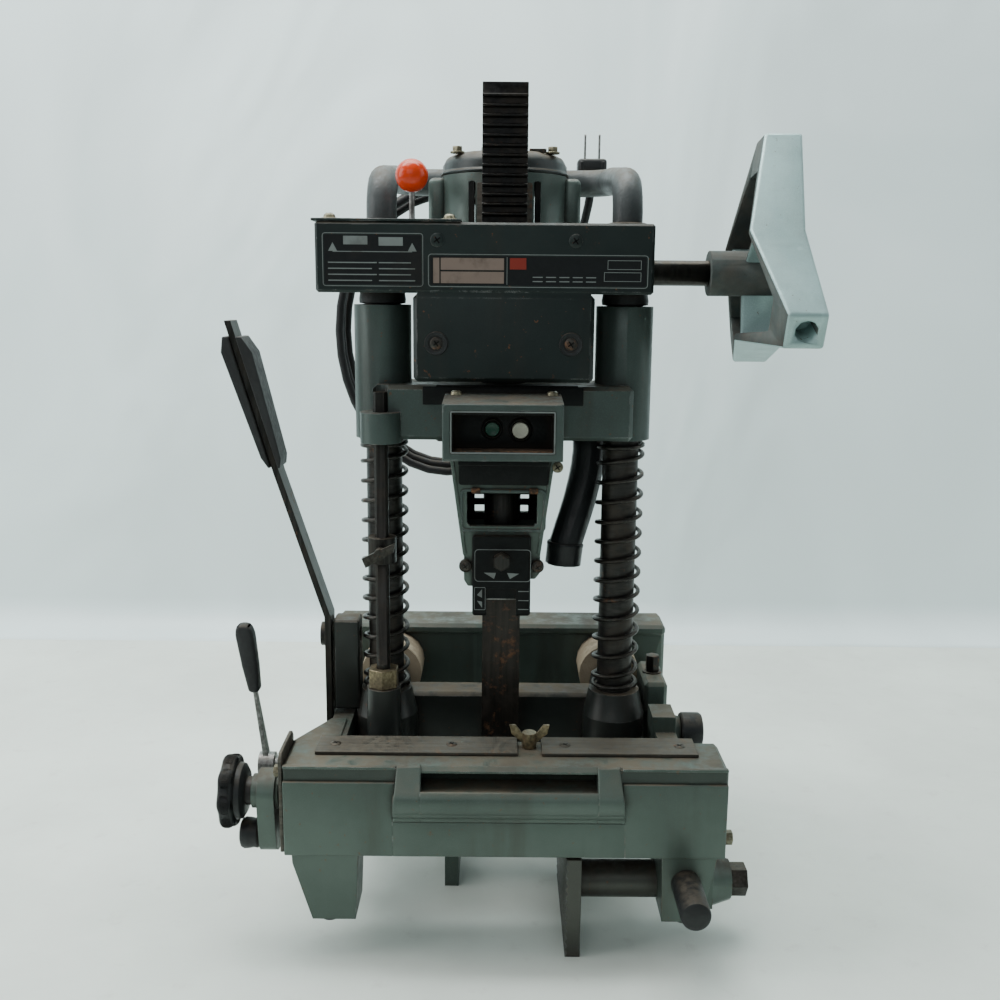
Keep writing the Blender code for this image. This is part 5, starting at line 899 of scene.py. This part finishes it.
def make_bridge_screws():
    screw_heads("bridge_screws", ((-0.0482, bridge_front, 0.5254), (0.0511, bridge_front, 0.5254)),
                -Y, 0.0050, bridge_shaded_green, "carriage", 0.0012)
    tongue_x, tongue_z, rings = 0.049, 0.4521, Piece()
    for side in sides:
        place = (side * tongue_x, bridge_front, tongue_z)
        rings.turned([(0.0055, 0.0001), (0.0058, 0.0006), (0.0082, 0.0009), (0.0086, 0.0003),
                      (0.0086, -0.0004), (0.0055, -0.0004), (0.0055, 0.0001)], place, -Y)
        rings.turned([(0.0, 0.0001), (0.0056, 0.0001), (0.0056, -0.0003), (0.0, -0.0003)],
                     place, -Y)
    rings.put("tongue_rings", black_plastic, "carriage")
    screw_heads("tongue_screws", [(side * tongue_x, bridge_front - 0.0001, tongue_z)
                                  for side in sides], -Y, 0.0046, screw_dark, "carriage", 0.0012)


def make_handle_tube():
    rise, back, bend, steps = 0.573, 0.1485, 0.026, 12
    foot_z, bar_z, bar_radius = 0.5384, 0.583, 0.0115
    bends = [(bend * math.sin(math.pi / 2 * step / steps),
              bend * math.cos(math.pi / 2 * step / steps)) for step in range(steps + 1)]
    half = [Vector((-column_x, 0.0, foot_z))]
    half += [Vector((-column_x, bend - near, rise - bend + far)) for far, near in bends]
    half += [Vector((-column_x + bend - near, back - bend + far, bar_z)) for far, near in bends]
    path = half + [Vector((-point.x, point.y, point.z)) for point in reversed(half)]
    tube_piece("handle_bar", path, bar_radius, dark_tube, 8, ("handle_tube",))
    feet = Piece()
    for side in sides:
        feet.turned([(0.0, 0.5379), (0.0165, 0.5379), (0.0165, 0.5402), (0.0130, 0.5412),
                     (0.0, 0.5412)], (side * column_x, 0, 0), Z)
    feet.put("handle_feet", dark_steel, "carriage")


def make_shift_ball():
    ball, radius, middle = Piece(), 0.012, (-0.068, -0.025, 0.572)
    bmesh.ops.create_uvsphere(ball.build, u_segments=48, v_segments=32, radius=radius)
    bmesh.ops.translate(ball.build, vec=middle, verts=ball.build.verts)
    ball.put("shift_knob", red_ball, "shift_lever", ("shift_ball",))


make_columns()
make_gear_cover()
make_labels()
make_bridge_screws()
make_handle_tube()
make_shift_ball()


# Head: motor cap, switch box, buttons, nose, holder, chisel, rack and duct.
def motor_patches(name, finish, across, low, high, width, depth, edge):
    """Two rounded plates that lie on the motor's wall, given by their middle's place in X."""
    radius, patches = 0.0508, Piece()
    for side in sides:
        patch = Piece().plate(rounded(-width / 2, low, width / 2, high, edge, 4), "Y",
                              -depth / 2, depth / 2)
        turn = math.asin(side * across / radius)
        patches.take(patch, Matrix.Translation((0, motor_y, 0)) @ Matrix.Rotation(turn, 4, "Z")
                     @ Matrix.Translation((0, -radius, 0)))
    patches.put(name, finish, "head")


def make_motor_cap():
    cap, top, bore, bolt_x, bolt_y = Piece("motor_cap"), 0.5962, 0.030, 0.0375, 0.026
    rims = [line for line in cap.build.edges if line.is_manifold
            and line.calc_face_angle() > math.radians(40.0)
            and all(math.hypot(end.co.x, end.co.y - motor_y) > bore for end in line.verts)]
    bevel(cap.build, rims, 0.0012, 3)
    cap.put("motor_cap_surface", cap_coating, "head", ("motor_cap",))
    hex_bolts("motor_cap_bolts", [((x * bolt_x, motor_y + y * bolt_y, top), Z, 0.0042, 0.0050)
                                  for x in sides for y in sides], screw_zinc, "head")
    clip = Piece().block((0.0190, motor_y - 0.031, top), (0.0325, motor_y - 0.0285, 0.5995),
                         0.0006)
    clip.block((0.0190, motor_y - 0.0295, top), (0.0215, motor_y - 0.018, 0.5988), 0.0006)
    clip.put("motor_cap_clip", screw_dark, "head")
    Piece().turned([(0.0, 0.5960), (0.0038, 0.5960), (0.0036, 0.6000), (0.0026, 0.6016),
                    (0.0, 0.6019)], (-0.0150, motor_y - 0.026, 0), Z, small_steps).put(
        "motor_cap_knob", bright_steel, "head")


def make_motor_wall():
    bands, bosses = Piece(), Piece()
    for z in (0.4300, 0.4372, 0.5095):
        bands.turned([(0.0508, z), (0.0520, z + 0.0006), (0.0520, z + 0.0020),
                      (0.0508, z + 0.0026), (0.0500, z + 0.0013), (0.0508, z)],
                     (0, motor_y, 0), Z, large_steps)
    bands.put("motor_bands", motor_green, "head")
    motor_patches("motor_vent_shadows", shadow_black, 0.0254, 0.5395, 0.5735, 0.0046, 0.0012,
                  0.0022)
    motor_patches("motor_guides", rusty_strip, 0.0192, 0.5210, 0.5720, 0.0044, 0.0010, 0.0008)
    for side in sides:
        low, high = sorted((side * 0.0470, side * 0.0612))
        bosses.block((low, motor_y - 0.0170, 0.5405), (high, motor_y + 0.0170, 0.5785), 0.0048, 4)
    bosses.put("brush_bosses", motor_green, "head", ("brush_cap_left", "brush_cap_right"))


def make_switch_box():
    box = dressed("switch_box", head_green, 0.0016, 3)
    peak, keep = 0.4125, 0.30
    for corner in box.data.vertices:
        if corner.co.z > peak:
            corner.co.z = peak + keep * (corner.co.z - peak)
    # Painted shadow: black sheets in the gap over the switch box, where there is only shade.
    gap_shadow_sheet = Piece().block((-0.0600, -0.0366, 0.4060), (0.0600, -0.0346, 0.4196), 0.0004)
    gap_shadow_sheet.block((-0.0500, -0.0350, 0.4190), (0.0560, -0.0200, 0.4206), 0.0004)
    gap_shadow_sheet.put("switch_gap_shadow_sheet", shaded_black_plastic, "head")
    opening = rounded(-0.0372, 0.3766, 0.0372, 0.4068, 0.0012, 4)
    Piece().frame(rounded(-0.0428, 0.3716, 0.0428, 0.4118, 0.0030, 4), opening, "Y",
                  switch_front - 0.0008, switch_front + 0.0030).put(
        "switch_rim", head_green, "head", edge=0.0009, segments=3)
    Piece().frame(opening, rounded(-0.0363, 0.3775, 0.0363, 0.4059, 0.0010, 4), "Y",
                  switch_front - 0.0011, switch_front + 0.0060).put(
        "switch_bezel", label_light, "head", slot="bright_steel")


def make_switch_inside():
    half, front = 0.0364, -0.0838
    face = Piece().block((-half, -0.0690, 0.3775), (half, -0.0674, 0.4055), 0.0004)
    face.block((-half, front, 0.4040), (half, -0.0680, 0.4060), 0.0004)
    for side in sides:
        low, high = sorted((side * half, side * 0.0356))
        face.block((low, front, 0.3775), (high, -0.0680, 0.4055))
    buttons = (("off_button", (-0.0076, -0.067, 0.3925), 0.0052, green_button),
               ("on_button", (0.0127, -0.067, 0.3918), 0.0060, white_button))
    for name, (x, y, z), radius, finish in buttons:
        face.turned([(radius + 0.0006, 0.0), (radius + 0.0006, 0.0022),
                     (radius + 0.0014, 0.0030), (radius + 0.0024, 0.0022),
                     (radius + 0.0028, 0.0), (radius + 0.0006, 0.0)], (x, y - 0.0018, z), -Y)
    face.put("switch_face", shaded_black_plastic, "head")
    Piece().block((-half, -0.0842, 0.3768), (half, -0.0690, 0.3782), 0.0003).put(
        "switch_floor", floor_rust, "head")
    screw_heads("switch_box_screws", ((-0.0345, -0.0470, 0.4150), (0.0365, -0.0470, 0.4150)), Z,
                0.0044, screw_zinc, "head", 0.0030)
    for name, place, radius, finish in buttons:
        Piece().turned([(0.0, 0.0050), (0.55 * radius, 0.0052), (0.78 * radius, 0.0058),
                        (0.90 * radius, 0.0060), (0.98 * radius, 0.0054), (radius, 0.0044),
                        (radius, -0.0060), (0.0, -0.0060)], place, -Y).put(
            name + "_cap", finish, name, (name,))


def make_flap():
    screw_heads("nose_side_screws", ((0.0420, nose_front, 0.3585),), -Y, 0.0044, screw_zinc,
                "head", 0.0024)
    flap = Piece().plate(rounded(-0.033, 0.3447, 0.035, 0.3683, 0.0018, 4), "Y",
                         nose_front - 0.0033, nose_front - 0.0004, 0.0006)
    flap.plate(rounded(-0.0335, 0.3600, 0.0355, 0.3640, 0.0010, 3), "Y", nose_front - 0.0046,
               nose_front - 0.0030, 0.0004)
    flap.put("chip_flap_plate", shaded_black_plastic, "chip_flap", ("chip_flap",))
    hinge_y, hinge_z = nose_front - 0.0012, 0.3398
    Piece().rod((-0.0165, hinge_y, hinge_z), (0.0205, hinge_y, hinge_z), 0.0018, small_steps,
                0.0004).put("hinge_barrel", head_green, "head")
    ends = Piece()
    for low, high in ((-0.0235, -0.0165), (0.0205, 0.0275)):
        ends.block((low, nose_front - 0.0032, 0.3378), (high, nose_front + 0.0004, 0.3424), 0.0010)
    ends.put("hinge_ends", floor_rust, "head")


def make_window():
    Piece().frame(rounded(-0.0322, 0.3078, 0.0338, 0.3412, 0.0040),
                  rounded(-0.0300, 0.3100, 0.0316, 0.3390, 0.0026), "Y", nose_front - 0.0010,
                  nose_front + 0.0040).put("window_frame", head_green, "head", edge=0.0003)
    wall, back, half = Piece(), 0.0250, 0.0330
    # Each level of the back wall runs from low to high, between the ends of its holes.
    for low, high, holes in ((0.3060, 0.3113, ()), (0.3113, 0.3181, (-0.0222, -0.0145, 0.0152,
                                                                     0.0214)),
                             (0.3181, 0.3236, ()), (0.3236, 0.3268, (-0.0222, -0.0150, 0.0152,
                                                                     0.0220)),
                             (0.3268, 0.3420, ())):
        ends = [-half, *holes, half]
        for first, second in zip(ends[::2], ends[1::2]):
            wall.block((first, back - 0.0010, low), (second, back, high))
    wall.put("window_back", shaded_black_plastic, "head")


def make_nose_edges():
    flanges, corners = Piece(), Piece()
    for side in sides:
        flanges.plate([(side * 0.0418, 0.3780), (side * 0.0298, 0.2902),
                       (side * 0.0270, 0.2902), (side * 0.0390, 0.3780)], "Y",
                      nose_front - 0.0011, nose_front + 0.0010, 0.0004, 1)
    flanges.put("nose_flanges", grey_green, "head")
    for outline in ([(-0.0292, 0.2900), (-0.0292, 0.2690), (-0.0262, 0.2640), (-0.0222, 0.2640),
                     (-0.0222, 0.2900)],
                    [(0.0222, 0.2900), (0.0222, 0.2700), (0.0262, 0.2700), (0.0300, 0.2750),
                     (0.0300, 0.2900)]):
        corners.plate(outline, "Y", nose_front + 0.0006, nose_front + 0.0090, 0.0010)
    corners.put("holder_corners", grey_green, "head")


def make_holder():
    dressed("chisel_holder", shaded_black_plastic, 0.0009, 3)
    front, marks = nose_front - 0.0003 - 0.006, Piece()
    for outer, inner in (
            (rounded(-0.0208, 0.2697, 0.0226, 0.2953, 0.0030, 4),
             rounded(-0.0203, 0.2702, 0.0221, 0.2948, 0.0026, 4)),
            (rounded(-0.0210, 0.2470, -0.0122, 0.2652, 0.0008, 2),
             rounded(-0.0206, 0.2474, -0.0126, 0.2648, 0.0005, 2))):
        marks.frame(outer, inner, "Y", front - 0.0003, front + 0.0004)
    for outline in ([(-0.0134, 0.2768), (-0.0042, 0.2768), (-0.0057, 0.2720)],
                    [(0.0043, 0.2768), (0.0135, 0.2762), (0.0066, 0.2720)],
                    [(-0.0149, 0.2636), (-0.0149, 0.2568), (-0.0187, 0.2590)],
                    [(-0.0187, 0.2544), (-0.0148, 0.2536), (-0.0148, 0.2488)],
                    *(box_mark(0.0130, low, 0.0212, low + 0.0006)
                      for low in (0.2618, 0.2545, 0.2474))):
        marks.plate(outline, "Y", front - 0.0003, front)
    marks.put("holder_marks", label_light, "head")
    ear_x, ear_z, ears = 0.0278, 0.2812, Piece()
    for side in sides:
        ears.turned([(0.0, 0.0), (0.0050, 0.0), (0.0050, 0.0040), (0.0042, 0.0050),
                     (0.0, 0.0050)], (side * ear_x, nose_front + 0.0002, ear_z), -Y)
    ears.put("holder_ears", screw_dark, "head")
    screw_heads("holder_ear_screws", [(side * ear_x, nose_front - 0.0048, ear_z)
                                      for side in sides], -Y, 0.0036, screw_dark, "head", 0.0012)
    dressed("chisel_bolt", dark_steel, 0.0006, slot="bright_steel")
    dressed("hollow_chisel", chisel_steel, 0.0005)
    Piece().block((-0.0156, -0.0156, 0.2490), (0.0156, -0.0148, 0.2530), 0.0003, 1).put(
        "chisel_band", bright_steel, "head")


def make_rack_and_duct():
    dressed("rack", rack_steel, 0.0003, 1)
    dressed("air_duct", duct_rubber, 0.0004, 1, 50.0)
    end, fall = Vector((0.0500, 0.0120, 0.2722)), Vector((-0.10, -0.05, -0.99)).normalized()
    Piece().turned([(0.0132, 0.0), (0.0145, 0.0004), (0.0146, 0.0150), (0.0149, 0.0156),
                    (0.0149, 0.0172), (0.0144, 0.0180), (0.0132, 0.0182), (0.0132, 0.0)],
                   end, -fall).put("duct_cuff", duct_rubber, "head")
    dressed("cord_gland", black_plastic, 0.0005)


make_motor_cap()
make_motor_wall()
make_switch_box()
make_switch_inside()
make_flap()
make_window()
make_nose_edges()
make_holder()
make_rack_and_duct()


# Handwheel, levers, knob, crank and the jaws' screws.
def make_wheel():
    wheel = Piece("handwheel")
    sharp, long_line, rim_round = math.radians(28.0), 0.012, 0.0022
    rims = [line for line in wheel.build.edges if line.is_manifold and line.is_convex
            and line.calc_face_angle() > sharp and line.calc_length() > long_line]
    bevel(wheel.build, rims, rim_round, 4)
    wheel = wheel.put("handwheel_surface", blue_grey, "handwheel", ("handwheel",), smooth=40.0)
    marks = wheel.data.attributes.new("inside", "FLOAT", "FACE")
    rim_x, hub_x, hub_radius, inward, leftward = 0.2100, 0.2000, 0.0185, -0.15, -0.85
    # Marks the hub for its grime, and the faces turned inward and towards the machine for painted
    # shade.
    for face in wheel.data.polygons:
        out = Vector((0.0, face.center.y - feed_axis.y, face.center.z - feed_axis.z))
        inside = face.normal.dot(out.normalized()) < inward and face.center.x < rim_x
        hub = out.length < hub_radius and face.center.x < hub_x
        marks.data[face.index].value = float(inside or hub or face.normal.x < leftward)
    hex_bolts("wheel_bolt", [((0.2105, feed_axis.y, feed_axis.z), X, 0.0052, 0.0045)],
              bright_steel, "handwheel")


def make_levers():
    dressed("traverse_lever", dark_steel, 0.0006)
    for word in ("outer", "inner"):
        dressed("lever_grip_" + word, grip_plastic, 0.0030, 4, 45.0)
    clamp = dressed("clamp_lever", bright_steel, 0.0008, slot="dark_steel")
    axis_y, low, high, keep = -0.024, 0.1745, 0.2302, 0.65
    foot_x, foot_z, lean, half_depth = -0.1875, 0.112, -0.015 / 0.113, 0.0066

    def middle(z):
        return foot_x + lean * (z - foot_z)

    for corner in clamp.data.vertices:
        if corner.co.z > low:
            corner.co.x = middle(corner.co.z) + keep * (corner.co.x - middle(corner.co.z))
            corner.co.y = axis_y + keep * (corner.co.y - axis_y)
    halves = [(0.0042, low), (0.0062, 0.196), (0.0072, 0.222), (0.0058, 0.228), (0.0028, high)]
    outline = [(middle(low) - 0.0042, low)]
    outline += [(middle(z) + half, z) for half, z in halves]
    outline += [(middle(z) - half, z) for half, z in reversed(halves[1:])]
    Piece().plate(outline, "Y", axis_y - half_depth, axis_y + half_depth, 0.0028, 3).put(
        "clamp_grip_skin", grip_plastic, "clamp_lever")


def make_crank():
    screw_left, screw_right, grip_left, grip_drop = -0.197, -0.066, -0.1945, 0.034
    Piece().thread((screw_left, crank_y, crank_z), (screw_right, crank_y, crank_z)).put(
        "lead_thread", dark_steel, "crank", ("lead_screw",))
    Piece().turned([(0.0, 0.0), (0.0086, 0.0), (0.0106, 0.0010), (0.0117, 0.0032),
                    (0.0114, 0.0070), (0.0108, 0.0100), (0.0112, 0.0130), (0.0098, 0.0150),
                    (0.0, 0.0152)], (grip_left, crank_y, crank_z - grip_drop), X).put(
        "crank_grip_round", black_plastic, "crank_grip", ("crank_grip",))


def make_knob():
    outline, lobes, steps, knob_radius, swing = [], 8, 128, 0.0275, 0.045
    for step in range(steps):
        angle = 2 * math.pi * step / steps
        radius = knob_radius * (1 - swing + swing * math.cos(lobes * angle))
        outline.append((crank_y + radius * math.cos(angle), crank_z + radius * math.sin(angle)))
    knob = Piece().plate(outline, "X", -0.2063, -0.1950, 0.0040, 5)
    knob.turned([(0.0072, 0.0), (0.0212, 0.0), (0.0202, 0.0040), (0.0165, 0.0062),
                 (0.0105, 0.0066), (0.0105, 0.0112), (0.0072, 0.0112), (0.0072, 0.0)],
                (-0.1952, crank_y, crank_z), X)
    knob.put("lock_knob_lobes", black_plastic, "lock_knob", ("lock_knob",), smooth=45.0)
    Piece().turned([(0.0, 0.0004), (0.0060, 0.0004), (0.0082, 0.0), (0.0088, -0.0010),
                    (0.0, -0.0010)], (-0.2060, crank_y, crank_z), -X).put(
        "lock_knob_insert", bright_steel, "lock_knob")


def make_jaw_screw():
    y, z, shank_left, hex_left, hex_right, hex_radius = -0.076, 0.044, 0.086, 0.1785, 0.191, 0.0125
    Piece().thread((shank_left, y, z), (hex_left + 0.0005, y, z)).rod(
        (hex_left, y, z), (hex_right, y, z), hex_radius, 6, 0.0008).put(
        "jaw_screw_hex", screw_dark, "jaw_screw", ("jaw_screw",), "bright_steel")
    dressed("front_wing_screw", brass, 0.0006)
    dressed("stop_wing_bolt", screw_dark, 0.0006, slot="brass_screw")


# Front rail: handle block, grooves, bumpers, pads, bolts and end plate.
def make_handle_block():
    """The block with the carrying bar: two posts with sloping sides, the bar and its tray."""
    foot, top = 0.1108, 0.1530
    bar = [(-0.1240, 0.1378), (-0.1262, 0.1356), (-0.1277, 0.1320), (-0.1281, 0.1280),
           (-0.1275, 0.1240), (-0.1258, 0.1205), (-0.1230, 0.1182), (-0.1196, 0.1176),
           (-0.1192, 0.1114), (-0.1150, foot)]
    post = [(-0.1110, top), (-0.1150, 0.1522), *bar, (-0.1110, foot)]
    block = Piece()
    for inner, outer_top, outer in ((-0.0570, -0.0745, -0.0777), (0.0708, 0.0868, 0.0918)):
        side = Piece().plate(post, "X", *sorted((inner, outer)))
        for corner in side.build.verts:
            if abs(corner.co.x - outer) < same_place:
                corner.co.x += (outer_top - outer) * (corner.co.z - foot) / (top - foot)
        block.take(side)
    block.plate([(-0.0935, 0.1335), (-0.1205, 0.1345), *bar, (-0.0935, foot)], "X", -0.0575,
                0.0712)
    bmesh.ops.remove_doubles(block.build, verts=block.build.verts, dist=same_place)
    block.put("handle_block", grey_green, "base", smooth=40.0, edge=0.0009, segments=3,
              edge_angle=35.0)


def make_rail_skin():
    skin, low_z, top_z, out, back = Piece(), 0.0835, 0.1410, rail_front - 0.0030, rail_front + 0.001
    for low, high, low_top, high_top in ((-0.1572, -0.0775, -0.1572, -0.0757),
                                         (0.0918, 0.1654, 0.0888, 0.1654)):
        skin.plate([(low, low_z), (high, low_z), (high, 0.1108), (high_top, top_z),
                    (low_top, top_z)], "Y", out, back, 0.0010, 3)
        skin.plate(box_mark(low_top, 0.1502, high_top, 0.1524), "Y", rail_front - 0.0012,
                   rail_front + 0.0030, 0.0007)
    skin.plate(box_mark(-0.0780, low_z, 0.0922, 0.1112), "Y", out, back, 0.0010, 3)
    skin.put("rail_skin", grey_green, "base")
    # The grooves under the top lip are darker green blocks: painted shade of the overhang.
    grooves = Piece()
    for low, high in ((-0.1565, -0.0745), (0.0875, 0.1645)):
        grooves.block((low, rail_front - 0.0004, 0.1400), (high, back, 0.1510))
    grooves.put("rail_grooves", groove_shaded_green, "base")


def make_rail_fittings():
    pads = Piece()
    for x in (-0.127, 0.139):
        pads.turned([(0.0, 0.0), (0.0068, 0.0), (0.0078, -0.0012), (0.0078, -0.0052),
                     (0.0066, -0.0064), (0.0, -0.0064)], (x, -0.100, 0.0312), Z)
    pads.put("foot_pads", black_plastic, "base")
    screw_heads("strip_screws", [(x, -0.0800, 0.1547) for x in (-0.1235, -0.0365, 0.0490,
                                                                0.1350)],
                Z, 0.0042, screw_dark, "base", 0.0009)
    for node, place, direction, profile in (
            ("front_bumper", (0.138, rail_front, 0.062), -Y,
             [(0.0, 0.0448), (0.0082, 0.0448), (0.0104, 0.0436), (0.0110, 0.0415),
              (0.0110, 0.0), (0.0, 0.0)]),
            ("side_bumper", (0.143, -0.030, 0.147), X,
             [(0.0, 0.0003), (0.0130, 0.0003), (0.0140, 0.0016), (0.0140, 0.0150),
              (0.0126, 0.0172), (0.0100, 0.0179), (0.0, 0.0180)])):
        Piece().turned(profile, place, direction).put(node + "_round", black_plastic, "base",
                                                      (node,))
    Piece().plate([(-0.1140, 0.0840), (-0.0660, 0.0840), (-0.0660, 0.1560), (-0.0700, 0.1605),
                   (-0.1100, 0.1605), (-0.1140, 0.1560)], "X", -0.1606, -0.1578, 0.0005, 1).put(
        "rail_end_plate", rusty_strip, "base")
    hex_bolts("rail_bolts", [((-0.1604, -0.1040, 0.1438), -X, 0.0045, 0.0050),
                             ((-0.1604, -0.0740, 0.1000), -X, 0.0045, 0.0050),
                             ((0.1658, -0.0950, 0.0890), X, 0.0055, 0.0088)],
              screw_zinc, "base")
    hex_bolts("step_bolt", [((0.1290, 0.0330, 0.1728), Z, 0.0060, 0.0150)], dark_steel, "base")


make_wheel()
make_levers()
make_crank()
make_knob()
make_jaw_screw()
make_handle_block()
make_rail_skin()
make_rail_fittings()
